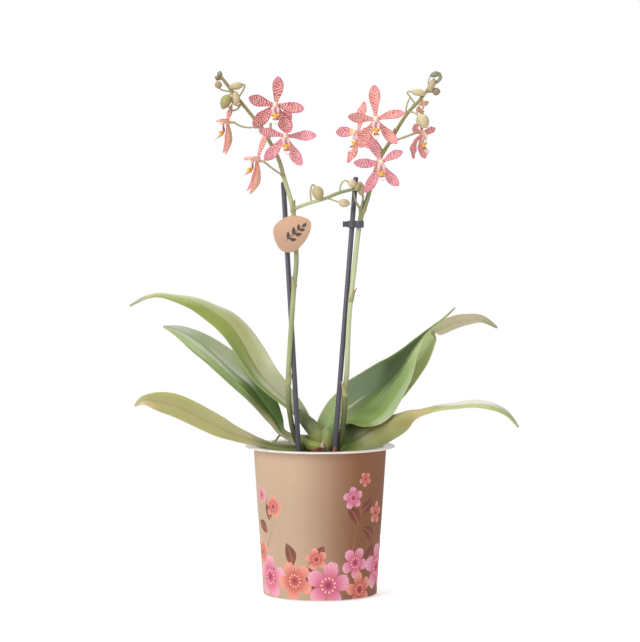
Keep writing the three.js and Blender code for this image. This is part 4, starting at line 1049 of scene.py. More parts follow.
def lip_lobe_finish(looks):
    """Middle lobe of the lip: yellow root, dark red marks and a pale lilac tip."""
    finish = Finish("lip_middle_lobe", specular=0.4, roughness=0.4)
    blots = finish.grains(0.9, 3, 0.6)
    place = blots.fit(0.2, finish.share)
    finish.colour = finish.mix(place.rise(0.5, 0.62), looks.yellow, "#f6e0e2")
    marks = place.rise(0.36, 0.44) * place.fall(0.62, 0.74) * abs(finish.v).fit(0.2, blots).rise(0.42, 0.54)
    finish.lay(looks.marks, marks * 0.92)
    finish.lay("#c9bfcd", finish.share.rise(0.8, 1) * 0.6)
    finish.lay("#f4e6dc", finish.third * 0.4)
    return finish.wear(height=blots, strength=0.2)


def lip_yellow_finish(looks, name):
    """Callus and side lobes: warm yellow with dark red specks, paler at the margins."""
    finish = Finish(name, specular=0.45, roughness=0.36)
    cloud = finish.grains(0.5)
    cells = {"Vector": finish.grain, "Scale": 1.15, "Randomness": 0.8}
    specks = finish.value("ShaderNodeTexVoronoi", cells, "Distance").fall(0.26, 0.4)
    finish.colour = finish.shaded(looks.yellow, cloud.swing(0.88, 1.1), cloud.swing(1.1, 0.92))
    finish.lay("#fbead0", abs(finish.share - 0.5).rise(0.3, 0.5) * 0.6)
    finish.lay(looks.marks, specks * 0.85)
    return finish.wear(height=cloud - specks, strength=0.15)


def stem_finish(looks):
    """Flower stem: olive green, streaked along, browner upwards, with small brown flecks."""
    finish = Finish("flower_stem", specular=0.4)
    spot = finish.place_mm()
    side, _, up = finish.parts(spot)
    cloud, patches = finish.noise(spot, 0.05, 3), finish.noise(spot, 0.11)
    streak = finish.grains((0.06, 0.9, 1), 3)
    finish.colour = finish.shaded(looks.stem, cloud.swing(0.86, 1.12), cloud.swing(1.15, 0.85))
    finish.lay("#8f9468", finish.noise(spot, 0.018, 1).rise(0.45, 0.62))
    finish.lay(finish.mix(patches.rise(0.42, 0.6), "#938f62", "#a08a5e"), up.rise(318, 368) * 0.85)
    # Pale bands on the right stem lower down and on the left stem higher up are painted highlights.
    right = side.rise(-3, 3)
    finish.lay("#c3c8a0", up.rise(150, 200) * up.fall(286, 300) * right.swing(0.12, 0.75))
    finish.lay("#c0c796", up.rise(296, 312) * up.fall(330, 348) * right.swing(0.75, 0))
    # The dark foot of each stem is painted shade.
    finish.lay("#4b4d2c", up.fall(134, 190) * 0.9)
    finish.shade(streak.swing(0.9, 1.1))
    stretched = finish.value("ShaderNodeMapping", {0: finish.grain, 3: (0.35, 0.7, 1)})
    flecks = finish.value("ShaderNodeTexVoronoi", {"Vector": stretched, "Scale": 1.0}, "Distance")
    finish.lay("#7b5a46", flecks.fall(0.05, 0.13) * 0.4)
    return finish.wear(streak.swing(0.38, 0.52), streak, 0.2)


def stalk_finish():
    """Stalks of flowers and buds: pale green to tan, darker in places."""
    finish = Finish("flower_stalk", specular=0.35, roughness=0.45)
    streak = finish.grains((0.1, 1.2, 1))
    finish.colour = finish.mix(finish.grains(0.16).rise(0.38, 0.62), "#b3b68a", "#b9a784")
    finish.shade(streak.swing(0.84, 1.1))
    return finish.wear(height=streak, strength=0.15)


def bud_finish(looks):
    """Buds: grey green, olive, cream or brown, with seams between the sepals and a warm flush."""
    finish = Finish("flower_bud", specular=0.35)
    share, tone = finish.share, finish.third
    cloud, streak = finish.grains(0.3, 3), finish.grains((0.22, 1.4, 1))
    finish.colour = finish.mix(tone.rise(0, 0.33), "#8f9379", looks.bud)
    finish.lay("#d6c6a0", tone.rise(0.33, 0.66))
    finish.lay("#94765a", tone.rise(0.66, 1))
    finish.lay("#9da162", share.fall(0, 0.4) * 0.3)
    finish.lay("#b08a70", cloud.fit(1.1, share * 0.5).rise(0.72, 1.15) * 0.5)
    finish.shade(streak.swing(0.88, 1.1))
    finish.shade(abs(finish.v - 0.5).fall(0.03, 0.12).fit(-0.26, 1))
    return finish.wear(cloud.swing(0.4, 0.55), streak, 0.2, 0.00015)


def bract_finish():
    """Dry scales at the joints of the stem: tan with a brown margin."""
    finish = Finish("stem_bract", specular=0.3, roughness=0.6)
    streak = finish.grains((0.1, 2.0, 1), 3)
    finish.colour = finish.mix(finish.share.rise(0.1, 0.9), "#a3a274", "#a8976f")
    finish.shade(streak.swing(0.8, 1.12))
    return finish.wear(height=streak, strength=0.4)


def crown_finish(looks):
    """Clasping leaf bases: light green with darker folds and a few dry fibres."""
    finish = Finish("crown_green", specular=0.4)
    spot = finish.place_mm()
    cloud, folds = finish.noise(spot, 0.09, 3), finish.noise(spot, (0.5, 0.5, 0.09), 3, 0.4)
    finish.colour = finish.shaded(looks.crown, cloud.swing(0.75, 1.15), cloud.swing(1.15, 0.85))
    finish.lay("#6e7f3d", folds.rise(0.56, 0.72))
    finish.lay("#b9a98d", cloud.rise(0.62, 0.72) * 0.5)
    return finish.wear(folds.swing(0.4, 0.6), folds, 0.5, 0.0006)


def sheath_finish(name, low, high):
    """Clasping leaf base: paler at its foot, with fine veins along it and a thin pale edge."""
    finish = Finish(name, specular=0.4)
    cloud, fine = finish.grains((0.14, 0.25, 1), 3), finish.grains((0.1, 1.5, 1), 3)
    place = (cloud - 0.5).fit(0.6, finish.share)
    finish.colour = finish.mix(place.rise(0.12, 0.7), low, high)
    veins = fine.fit(2.5, finish.across * 4.2).sum("SINE")
    finish.shade(veins.swing(0.96, 1.05))
    finish.shade(cloud.swing(0.82, 1.16), cloud.swing(1.12, 0.9))
    finish.lay("#b5a184", place.fall(0.02, 0.2) * 0.6)
    finish.lay("#bcbb8b", abs(finish.v).rise(0.9, 0.99) * 0.4)
    return finish.wear(fine.swing(0.36, 0.5), veins, 0.12, 0.0003)


def root_finish(looks):
    """Orchid roots: silvery skin with green showing through and brown scars."""
    finish = Finish("root_skin", specular=0.25, roughness=0.7)
    speck = finish.grains(0.9, 3)
    finish.colour = finish.mix(finish.grains(0.12, 4).rise(0.42, 0.6), looks.root, "#7d8a55")
    finish.lay("#8b7355", speck.rise(0.62, 0.72))
    return finish.wear(height=speck, strength=0.5, depth=0.0004)


def bark_finish(name, ground, shift=1.0):
    """Bark chips: brown, flaky and layered, each with its own tone."""
    finish = Finish(name, specular=0.15, roughness=0.92)
    layers, crumb = finish.grains((0.12, 0.12, 1.1), 4, 0.6), finish.grains(0.8, 4)
    tone = finish.value("ShaderNodeTexWhiteNoise", {"W": finish.seed}, noise_dimensions="1D")
    finish.colour = finish.shaded(ground, tone.swing(0.55, 1.35) * shift)
    finish.lay("#8e5a48", tone.rise(0.8, 1))
    finish.lay("#3d2620", layers.rise(0.55, 0.75))
    finish.shade(crumb.swing(0.7, 1.25))
    return finish.wear(height=layers + crumb, strength=0.8, depth=0.0008)


def stake_finish(looks, name):
    """Stakes and clips: dark slate plastic, faintly drawn along its length, with painted shade that darkens
    it below.
    """
    finish = Finish(name)
    spot = finish.place_mm()
    drawn, scuff = finish.noise(spot, (1.2, 1.2, 0.04), 3), finish.noise(spot, 0.12, 4)
    finish.colour = finish.shaded(looks.stake, drawn.swing(0.86, 1.12))
    finish.lay("#8a8590", scuff.rise(0.6, 0.75) * 0.25)
    # Painted shade: darker towards the bottom, among the leaves.
    finish.shade(finish.parts(spot)[2].rise(120, 260).swing(0.74, 1))
    return finish.wear(scuff.swing(0.34, 0.5), drawn, 0.25)


def pot_finish(looks):
    """Grow pot: frosted clear plastic with faint flow marks."""
    finish = Finish("pot_plastic", roughness=0.3, Transmission_Weight=0.14, IOR=1.46)
    spot = finish.place_mm()
    fine = finish.noise(spot, 0.5, 3)
    finish.colour = finish.shaded(looks.plastic, finish.noise(spot, (0.05, 0.05, 0.02), 3).swing(0.94, 1.03))
    return finish.wear(fine.swing(0.26, 0.36), fine, 0.06)


def wood_finish(looks):
    """Tag: thin pale wood with fine grain, painted light that makes its top lighter, and a printed sprig of
    leaves.
    """
    finish = Finish("tag_wood", specular=0.25)
    spot = finish.place_mm()
    grain, pores = finish.noise(spot, (0.07, 0.4, 1.3), 4, 0.5), finish.noise(spot, (0.35, 1.5, 5.5))
    finish.colour = finish.shaded(looks.wood, grain.swing(0.88, 1.08), grain.swing(1.1, 0.92))
    finish.lay("#b98a63", pores.rise(0.62, 0.75) * 0.3)
    x, y, z = finish.parts(spot)
    front = y.sum("LESS_THAN", TAG_MIDDLE[1] - 0.4)
    across, up = x - TAG_MIDDLE[0], z - TAG_MIDDLE[2]
    # Painted light and shade: the tag is darker towards its foot and lighter towards its top.
    finish.shade(up.rise(-6, 10).swing(0.95, 1.13))
    for row in TAG_SPRIG:
        finish.lay(looks.ink, motif(finish, printed_leaf, across, up, row)[0] * front * 0.88)
    return finish.wear(grain.swing(0.55, 0.7), pores, 0.25)


def motif(wiring, design, across, up, row):
    """The outputs of a printed motif, placed by a row of x, z, turn in degrees and its sizes."""
    if design.__name__ not in bpy.data.node_groups:
        design(Wiring(bpy.data.node_groups.new(design.__name__, "ShaderNodeTree")))
    x, z, turn, *sizes = row
    inputs = dict(enumerate((across, up, x, z, math.radians(turn), *sizes)))
    return wiring.values("ShaderNodeGroup", inputs, node_tree=bpy.data.node_groups[design.__name__])


def motif_inputs(wiring, sizes):
    """Millimetres along and beside a motif's own line, and the group's inputs."""
    for key in ("Across", "Up", "X", "Z", "Turn", *sizes):
        wiring.tree.interface.new_socket(key, in_out="INPUT", socket_type="NodeSocketFloat")
    given = wiring.values("NodeGroupInput")
    dx, dz = given[0] - given[2], given[1] - given[3]
    c, s = given[4].sum("COSINE"), given[4].sum("SINE")
    return dx.fit(c, dz * s), dz * c - dx * s, given


def motif_outputs(wiring, **outputs):
    """Gives a group its outputs, in their order."""
    for key in outputs:
        wiring.tree.interface.new_socket(key, in_out="OUTPUT", socket_type="NodeSocketFloat")
    wiring.node("NodeGroupOutput", outputs)


def printed_leaf(wiring):
    """A printed leaf or twig, pointed at both ends: mask, midrib and share along it."""
    lengthways, sideways, given = motif_inputs(wiring, ("Length", "Half"))
    share = lengthways.sum("DIVIDE", given[5])
    inside = share.rise(0, 0.001) * (1 - share).rise(0, 0.001)
    bend = (share * math.pi).sum("SINE") * given[6]
    reach = abs(bend.fit(0.35, sideways))
    mask = (bend - reach).rise(-0.05, 0.12) * inside
    motif_outputs(wiring, Mask=mask, Rib=reach.fall(0.1, 0.3), Share=share)


def printed_blossom(wiring):
    """A printed five-petalled blossom: mask, share out from its heart, streaks along its petals and dots."""
    x, z, given = motif_inputs(wiring, ("Size",))
    angle = z.sum("ARCTAN2", x)
    lobe = abs((angle * 2.5).sum("COSINE"))
    wave = wiring.noise(wiring.combine(given[0], given[1]), 0.25)
    share = x.fit(x, z * z).sum("SQRT").sum("DIVIDE", given[5])
    gap = lobe.sum("POWER", 0.55).fit(0.62, wave.fit(0.24, 0.26)) - share
    ray = wave.fit(6.0, angle * 35).sum("SINE")
    streak = ray.fit(0.25, 0.5 - lobe.fall(0, 0.35))
    dots = (angle * 11).sum("SINE").rise(0.2, 0.7) * abs(share - 0.3).fall(0.03, 0.06)
    motif_outputs(wiring, Mask=gap.rise(-0.01, 0.02), Share=share, Streak=streak, Dots=dots)


def card_finish(looks, quarter):
    """A quarter of the sleeve: kraft card with fibres, flecks, painted shade and painted light, and a print
    of blossoms and leaves.
    """
    finish = Finish(f"sleeve_card_{quarter}", specular=0.3)
    middle = quarter * CARD_HALF / 2
    x, y, z = finish.parts(finish.place_mm())
    across = x.sum("ARCTAN2", y * -1) * CARD_RADIUS
    flat = finish.combine(across, z)
    fibre = finish.noise(flat, (0.35, 1.6, 1), 4, 0.8)
    # Painted shade: the card turns browner and darker towards its right side, away from the key light.
    finish.colour = finish.mix(across.rise(-26, 36) * across.fall(100, 150), looks.card, looks.card_painted_shade)
    # Painted light: the card is lighter just under the rim, where the rim's shadow falls, and darker towards
    # its foot.
    finish.shade(z.rise(60, 116).swing(0.96, 1.08))
    finish.shade(fibre.swing(0.94, 1.05))
    finish.shade(finish.noise(flat, 0.04, 3).swing(0.95, 1.05))
    finish.lay("#9a7552", finish.noise(flat, 1.3, 3).rise(0.66, 0.78) * 0.35)
    ink = fibre.swing(0.86, 1.0)
    local = (across - middle).sum("WRAP", CARD_HALF, -CARD_HALF)
    for row in placed(PRINTED_LEAVES, middle):
        mask, rib, share = motif(finish, printed_leaf, local, z, row)
        leaf = finish.mix(rib, looks.print_brown, "#b9765e")
        finish.lay(finish.shaded(leaf, share.swing(1.25, 0.8)), mask * ink)
    for *row, red in placed(PRINTED_BLOSSOMS, middle):
        mask, share, streak, dots = motif(finish, printed_blossom, local, z, row)
        ground, pale = (looks.print_red, "#dd9482") if red else (looks.print_pink, "#e09db1")
        petal = finish.shaded(finish.mix(share.rise(0.25, 1), ground, pale), streak.swing(0.8, 1.12))
        petal = finish.mix(share.fall(0.05, 0.24), petal, "#8e2f4f")
        finish.lay(finish.mix(dots * 0.8, petal, "#f2d9a8"), mask * ink)
    return finish.wear(fibre.swing(0.55, 0.72), fibre, 0.15)


def placed(rows, middle):
    """The rows of motifs that come into the quarter of the sleeve round middle, measured from there."""
    for across, up, turn, reach, kind in rows:
        apart = (across - middle + CARD_HALF) % (2 * CARD_HALF) - CARD_HALF
        if abs(apart) < CARD_HALF / 4 + reach:
            yield apart, up, turn, reach, kind


# Shapes


def sleeve_radius(z):
    """Outer radius of the sleeve at a height."""
    return SLEEVE_FOOT_RADIUS + SLEEVE_TAPER * (z - SLEEVE_FOOT_Z)


def pot_radius(z):
    """Outer radius of the grow pot at a height."""
    return sleeve_radius(z) - SLEEVE_THICKNESS - SEAT_GAP


def turned_rings(profile, sides, bulge=None):
    """Rings round Z through radius and height pairs. Bulge(angles) is added to the radius."""
    angles = circle(sides)
    rings = []
    for radius, z in profile:
        reach = radius + (bulge(angles) if bulge else 0)
        rings.append(side_by_side(reach * np.cos(angles), reach * np.sin(angles), z))
    return np.array(rings)


def pot_profile(rim):
    """Outline of the pot from the middle of its foot round the rolled rim to the middle of its floor."""
    inside = pot_radius(POT_HEIGHT) - POT_WALL
    neck = pot_radius(RIM_UNDERSIDE)
    return [
        (pot_radius(0) - 0.8, 0), (pot_radius(0) - 0.2, 0.15),
        *[(pot_radius(z), z) for z in (0.6, 6, 12, 30, 60, 90, 108)],
        (neck - 0.1, RIM_UNDERSIDE - 0.8), (neck + 0.6, RIM_UNDERSIDE),
        (rim - 1, RIM_UNDERSIDE), (rim - 0.4, RIM_UNDERSIDE + 0.08), (rim - 0.1, RIM_UNDERSIDE + 0.35),
        (rim, RIM_UNDERSIDE + 0.55), (rim - 0.1, POT_HEIGHT - 0.4), (rim - 0.4, POT_HEIGHT - 0.15),
        (rim - 1, POT_HEIGHT), (inside + 1.6, POT_HEIGHT - 0.1), (inside + 0.7, POT_HEIGHT - 0.5),
        (inside + 0.1, POT_HEIGHT - 1.4), *[(pot_radius(z) - POT_WALL, z) for z in (108, 90, 60, 30, 12, 5)],
        (pot_radius(3) - POT_WALL - 0.4, POT_FLOOR + 0.5), (pot_radius(2) - POT_WALL - 1.6, POT_FLOOR),
    ]


def bark_height(x, y):
    """Height of the bark's top at x, y."""
    mound = BARK_MOUND * np.exp(-((np.hypot(x, y) / BARK_MOUND_RADIUS) ** 2))
    coarse = np.sin(0.46 * x + 1.3) * np.sin(0.41 * y + 0.4)
    fine = np.sin(0.83 * x - 0.62 * y) * np.cos(0.71 * x + 0.9 * y + 0.6)
    return BARK_LEVEL + mound + BARK_RELIEF * (coarse + 0.6 * fine)


def bark_chip(skin, draw, spot, size, seed, kind=0):
    """One flake of bark: a hull of a few random points, lying nearly flat."""
    form = bmesh.new()
    for _ in range(BARK_CHIP_POINTS):
        point = draw.uniform(-1, 1, 3)
        point /= max(1, np.linalg.norm(point[:2]))
        form.verts.new(point * size)
    bmesh.ops.convex_hull(form, input=form.verts[:])
    bmesh.ops.delete(form, geom=[v for v in form.verts if not v.link_faces], context="VERTS")
    points = np.array([v.co for v in form.verts])
    form.verts.index_update()
    faces = [tuple(v.index for v in f.verts) for f in form.faces]
    form.free()
    spin = spin_matrix(draw.uniform(0, 2 * np.pi), *draw.normal(0, BARK_CHIP_TILT, 2))
    grain = side_by_side(points[:, 0], points[:, 1] * 1.3, seed)
    skin.add(points @ spin.T + spot, faces, kind, grain=grain)


def spin_matrix(turn, nod, roll):
    """Turn about Z after a nod about X and a roll about Y, in radians."""
    (cz, sz), (cx, sx), (cy, sy) = ((math.cos(a), math.sin(a)) for a in (turn, nod, roll))
    about_z = np.array([[cz, -sz, 0], [sz, cz, 0], [0, 0, 1]])
    about_x = np.array([[1, 0, 0], [0, cx, -sx], [0, sx, cx]])
    about_y = np.array([[cy, 0, sy], [0, 1, 0], [-sy, 0, cy]])
    return about_z @ about_x @ about_y


def bloom_matrix(bloom):
    """Place of a bloom: it looks to -Y, then nods and turns."""
    matrix = np.eye(4)
    matrix[:3, :3] = spin_matrix(math.radians(bloom.turn), -math.radians(bloom.nod), 0) * bloom.size
    matrix[:3, 3] = bloom.at
    return matrix


def tepal_rows(tepal, tip_back, bow, face, draw):
    """Rows of a sepal or petal in its bloom's own frame. Each one bends, twists and curls a little."""
    angle, length, half = tepal
    c, s = math.cos(math.radians(angle)), math.sin(math.radians(angle))
    bend, twist, curl, fuller = (draw.normal(0, spread) for spread in TEPAL_SPREADS)
    if face:
        bend, twist, curl = 0.3 * bend, 0.15 * twist, 0.5 * curl
    rows = []
    for share, wide in POINTED_OUTLINE if face < 0 else TEPAL_OUTLINE:
        arch = math.sin(math.pi * share)
        reach, aside = TEPAL_ROOT + share * length, bend * arch
        depth = tip_back * share ** 1.3 + bow * arch + curl * share ** 4
        width = half * (wide + fuller * math.sin(2 * math.pi * share))
        rows.append([
            reach * c - aside * s, depth, reach * s + aside * c, width, face + twist * share ** 1.5,
            (TURNED_TEPAL_FOLD if face else TEPAL_FOLD) * arch,
        ])
    return rows


def margin_wave(seed, height, waves):
    """A gentle wave of a blade's margins, unlike on its two sides."""
    def lift(share, v):
        phase = seed * 2.4 + np.sign(v) * 1.1
        return height * np.abs(v) ** 3 * np.sin(2 * np.pi * waves * share + phase) * np.sin(np.pi * share)
    return lift


def flower(skin, bloom, seed, thickness):
    """Sepals, petals, column and neck of one bloom."""
    draw = np.random.default_rng(int(seed))
    for k, (tepal, (tip_back, bow), face) in enumerate(zip(bloom.fan, TEPAL_BACKS, bloom.faces)):
        mark = seed + 1.7 * k
        rows = tepal_rows(tepal, tip_back, bow * bloom.bow, face, draw)
        wave = margin_wave(mark, 0.2 if face else 0.6, 2.6)
        kind = 5 if k == bloom.bare else 0
        skin.blade(
            rows, thickness, TEPAL_STEPS, kind, mark,
            across=TEPAL_ACROSS, groove=0.12, keel=0.15, ripple=wave,
        )
    skin.limb(COLUMN, 16, 18, 1, seed)
    skin.limb(ANTHER_CAP, 10, 16, 1, seed, ease=True)
    skin.limb(COLUMN_FOOT, 10, 12, 2, seed)
    for way in (-1, 1):
        skin.blade([[x * way, *rest] for x, *rest in COLUMN_WING], 0.7, 10, 3, seed, across=TEPAL_ACROSS[::2])
    skin.limb(NECK, 6, 12, 4, seed)


def lip(skin, seed, thickness):
    """Middle lobe, side lobes and callus of one lip."""
    wave = margin_wave(seed, 0.35, 2.5)
    skin.blade(LIP_MIDDLE, thickness, LIP_STEPS, 0, seed, across=TEPAL_ACROSS, groove=0.15, ripple=wave)
    for way in (-1, 1):
        side = [[x * way, y, z, half, face * way, fold] for x, y, z, half, face, fold in LIP_SIDE]
        wave = margin_wave(seed + way, 0.2, 2)
        skin.blade(side, thickness, 14, 1, seed + way, across=TEPAL_ACROSS, ripple=wave)
        skin.limb([[x * way, *rest] for x, *rest in LIP_HORN], 8, 8, 2, seed)
    skin.limb(LIP_CALLUS, 12, 16, 2, seed)


def pedicel_rows(bloom):
    """Stalk from the stem to the neck at the back of a bloom."""
    matrix = bloom_matrix(bloom)
    neck_end = NECK_LENGTH - 0.5
    end = matrix[:3, :3] @ [0, neck_end, 0] + matrix[:3, 3]
    behind = matrix[:3, :3] @ [0, neck_end + STALK_REACH, 0] + matrix[:3, 3] - [0, 0, bloom.sag]
    share = np.array([bloom.root])
    root = along(STEMS[bloom.stem], share)[0, :3]
    ahead = root + tangents(STEMS[bloom.stem], share)[0] * max(0, 4 - bloom.sag)
    rows = []
    for k in range(STALK_STEPS + 1):
        t = k / STALK_STEPS
        left = 1 - t
        point = left ** 3 * root + 3 * t * left ** 2 * ahead + 3 * t * t * left * behind + t ** 3 * end
        rows.append([*point, (0.8 + 0.03 * k) * bloom.size ** 0.8 * bloom.stalk])
    return rows


def bud(skin, seed, at, tip, length, width, tone, route, green_radius=None):
    """A closed bud on its stalk."""
    way = unit(np.array(tip, float))
    rows = [[*(np.array(at) + way * (share - 0.5) * length), wide * width / 2] for share, wide in BUD_OUTLINE]

    def seams(share, angles):
        return 1 - 0.05 * np.exp(-((np.cos(1.5 * angles) / 0.22) ** 2)) * math.sin(math.pi * share)

    skin.limb(rows, 22, 20, 1, seed, swell=seams, third=tone)
    radius = green_radius or BUD_STALK_RADIUS
    stalk = [[*(np.array(at) - 0.42 * length * way), radius * 1.15]] + [[*row, radius] for row in route]
    skin.limb(stalk, 8 * len(route), 10, 1 if green_radius else 3, seed, third=0.1)


def bract(skin, stem, entry, seed):
    """A joint of the stem with its dry clasping scale."""
    share, bearing, size = entry
    *middle, radius = along(stem, [share])[0]
    way = tangents(stem, np.array([share]))[0]
    out = np.array([math.cos(math.radians(bearing)), math.sin(math.radians(bearing)), 0])
    out = unit(out - way * (out @ way))
    side = np.cross(way, out)
    middle = np.array(middle)
    skin.limb([[*(middle + way * up), radius + more] for up, more in BRACT_JOINT], 10, 20, 2, seed)
    rings = []
    shares = np.linspace(0, 1, 12)
    for s in shares:
        open_half = BRACT_WRAP * (1 - s) ** 0.6 + 0.05
        lean = (0.25 + 1.2 * s ** 2) * size - 0.25
        turns = np.linspace(-open_half, open_half, 9)
        arcs = [(radius + 0.5 - 0.3 * abs(t) / open_half, t) for t in turns]
        arcs += [(radius + 0.05, t) for t in turns[::-1]]
        base = middle + way * (BRACT_LENGTH * size * s - 0.2)
        rings.append([base + out * (lean + r * math.cos(t)) + side * r * math.sin(t) for r, t in arcs])
    shares = shares[:, None]
    place = side_by_side(shares, np.zeros(18), 0.0)
    skin.loft(rings, 2, place, side_by_side(shares * BRACT_LENGTH, np.linspace(0, 8, 18), seed))


def spike(skin, side, branch, buds, bracts, stalks):
    """A flower stem with its branch, bracts, buds and stalks."""
    stem = STEMS[side]

    def swell(share, angles):
        near = sum(math.exp(-(((share - knot) / 0.006) ** 2)) for knot, _, _ in bracts)
        return 1 + 0.1 * near + 0.025 * np.cos(3 * angles + 9 * share) + 0.02 * math.sin(41 * share)

    skin.limb(stem, STEM_STEPS, 18, 0, 1.0, swell=swell)
    skin.limb(branch, 40, 12, 0, 2.0)
    for k, entry in enumerate(bracts):
        bract(skin, stem, entry, 3.0 + k)
    for k, entry in enumerate(buds):
        bud(skin, 10.0 + 1.3 * k, *entry)
    for k, rows in enumerate(stalks):
        skin.limb(rows, 14, 8, 3, 30.0 + k)
    for k, bloom in enumerate(BLOOMS):
        if bloom.stem == side:
            rows = pedicel_rows(bloom)
            skin.limb(rows, 26, 12, 3, 40.0 + k)
            root = np.array(rows[0][:3])
            ahead = unit(np.array(rows[1][:3]) - root)
            scale = [[*(root + ahead * up), radius] for up, radius in STALK_SCALE]
            skin.limb(scale, 8, 12, 2, 50.0 + k)


def tag_outline(count):
    """Points round the tag's rounded outline, from its middle: an even curve through the corners."""
    corners = np.array(TAG_CORNERS, float)
    n = len(corners)
    points = []
    for t in np.linspace(0, n, count, endpoint=False):
        k = int(t)
        level = [corners[(k + j) % n] for j in (-1, 0, 1, 2)]
        steps = [np.linalg.norm(ahead - here) ** 0.5 for here, ahead in zip(level, level[1:])]
        knots = np.concatenate([[0], np.cumsum(steps)])
        u = knots[1] + (t - k) * steps[1]
        for spans in ((0, 1), (1, 2), (2, 3)), ((0, 2), (1, 3)), ((1, 2),):
            level = [
                (level[m] * (knots[b] - u) + level[m + 1] * (u - knots[a])) / (knots[b] - knots[a])
                for m, (a, b) in enumerate(spans)
            ]
        points.append(level[0])
    return np.array(points)


# Operators: one for each piece or group of like pieces, and one for the stage


class MakePot(bpy.types.Operator):
    """Frosted grow pot with a rolled rim and drain holes"""

    bl_idname = "orchid.make_pot"
    bl_label = "Grow pot"

    def execute(self, context):
        looks = context.scene.orchid_pot
        skin, bars = Skin(), Skin()
        skin.loft(turned_rings(pot_profile(looks.rim_radius / MM), POT_SIDES))
        made = skin.piece("clear_grow_pot", [pot_finish(looks)], "pot_plastic", ["grow_pot"], sharp=50)
        for k in range(DRAIN_HOLES):
            angle = 2 * math.pi * (k + 0.5) / DRAIN_HOLES
            x, y = DRAIN_RING_RADIUS * math.cos(angle), DRAIN_RING_RADIUS * math.sin(angle)
            bars.limb([[x, y, -3, DRAIN_HOLE_RADIUS], [x, y, 6, DRAIN_HOLE_RADIUS]], 1, 32)
        cutter = place_object("drain_cutter", bars.mesh("drain_cutter"))
        cut = made.modifiers.new("drain_holes", "BOOLEAN")
        cut.operation, cut.solver, cut.object = "DIFFERENCE", "EXACT", cutter
        bake_modifiers(made)
        bpy.data.objects.remove(cutter)
        return {"FINISHED"}


class MakeSleeve(bpy.types.Operator):
    """Card sleeve, glued in an overlap at the back"""

    bl_idname = "orchid.make_sleeve"
    bl_label = "Card sleeve"

    def execute(self, context):
        heights = np.linspace(SLEEVE_FOOT_Z, RIM_UNDERSIDE - SEAT_GAP, CARD_RINGS)

        def overlap(angles):
            """The card's outer end lies over its inner one."""
            past = np.degrees(angles) - 90
            return CARD_LAP * smooth(past, -9, -8.4) * (1 - smooth(past, 0, 12))

        skin = Skin()
        outer = turned_rings([(sleeve_radius(z), z) for z in heights], CARD_SIDES, overlap)
        inside = [(sleeve_radius(z) - SLEEVE_THICKNESS, z) for z in heights[::-1]]
        inner = turned_rings(inside, CARD_SIDES)
        skin.loft(np.concatenate([outer, inner]), loop=True)
        points = np.concatenate(skin.points)
        middles = np.array([points[list(face)].mean(0) for face in skin.faces])
        turns = np.degrees(np.arctan2(middles[:, 0], -middles[:, 1]))
        skin.kinds = (np.round(turns / 90).astype(int) % CARD_QUARTERS).tolist()
        finishes = [card_finish(context.scene.orchid_pot, quarter) for quarter in range(CARD_QUARTERS)]
        skin.piece("printed_card_sleeve", finishes, "sleeve_card", ["pot_sleeve"], sharp=40)
        return {"FINISHED"}


class MakeBark(bpy.types.Operator):
    """Coarse bark that fills the pot"""

    bl_idname = "orchid.make_bark"
    bl_label = "Bark"

    def execute(self, context):
        looks = context.scene.orchid_pot
        draw = np.random.default_rng(SEED)
        foot = POT_FLOOR + SEAT_GAP
        edge, low, foot_edge = (pot_radius(z) - POT_WALL - SEAT_GAP for z in (BARK_LEVEL, foot + 1, foot))
        skin = Skin()
        rings = []
        angles = circle(BARK_SIDES)
        for reach in np.linspace(0.02, 1, BARK_RINGS):
            x, y = edge * reach * np.cos(angles), edge * reach * np.sin(angles)
            rough = 0.5 * np.sin(1.7 * x + 2.1 * y) * np.sin(2.3 * y - 0.9 * x)
            rings.append(side_by_side(x, y, bark_height(x, y) - 1.2 + rough))
        wall = [(pot_radius(70) - POT_WALL - SEAT_GAP, 70), (low, foot + 1), (foot_edge - 0.6, foot)]
        skin.loft(np.concatenate([rings, turned_rings(wall, BARK_SIDES)]), 1)
        for k in range(BARK_CHIPS):
            reach = (edge - BARK_CHIP_MARGIN) * math.sqrt(draw.uniform(0, 1))
            turn = draw.uniform(0, 2 * np.pi)
            x, y = reach * math.cos(turn), reach * math.sin(turn)
            size = np.array([draw.uniform(*span) for span in BARK_CHIP_SIZES])
            z = float(bark_height(x, y)) + draw.uniform(*BARK_CHIP_LIFT)
            bark_chip(skin, draw, np.array([x, y, z]), size, 1.0 + 0.37 * k)
        for k, (spot, size, kind) in enumerate(LARGE_CHIPS):
            bark_chip(skin, draw, np.array(spot), np.array(size), 0.5 + 0.2 * k, kind)
        finishes = [
            bark_finish("bark_chips", looks.bark), bark_finish("bark_fines", looks.bark, 0.6),
            bark_finish("bark_dark_chip", "#472427"), bark_finish("bark_red_chip", "#b87058"),
        ]
        skin.piece("bark_chips_and_fines", finishes, "bark", ["bark_mix"], sharp=35)
        return {"FINISHED"}


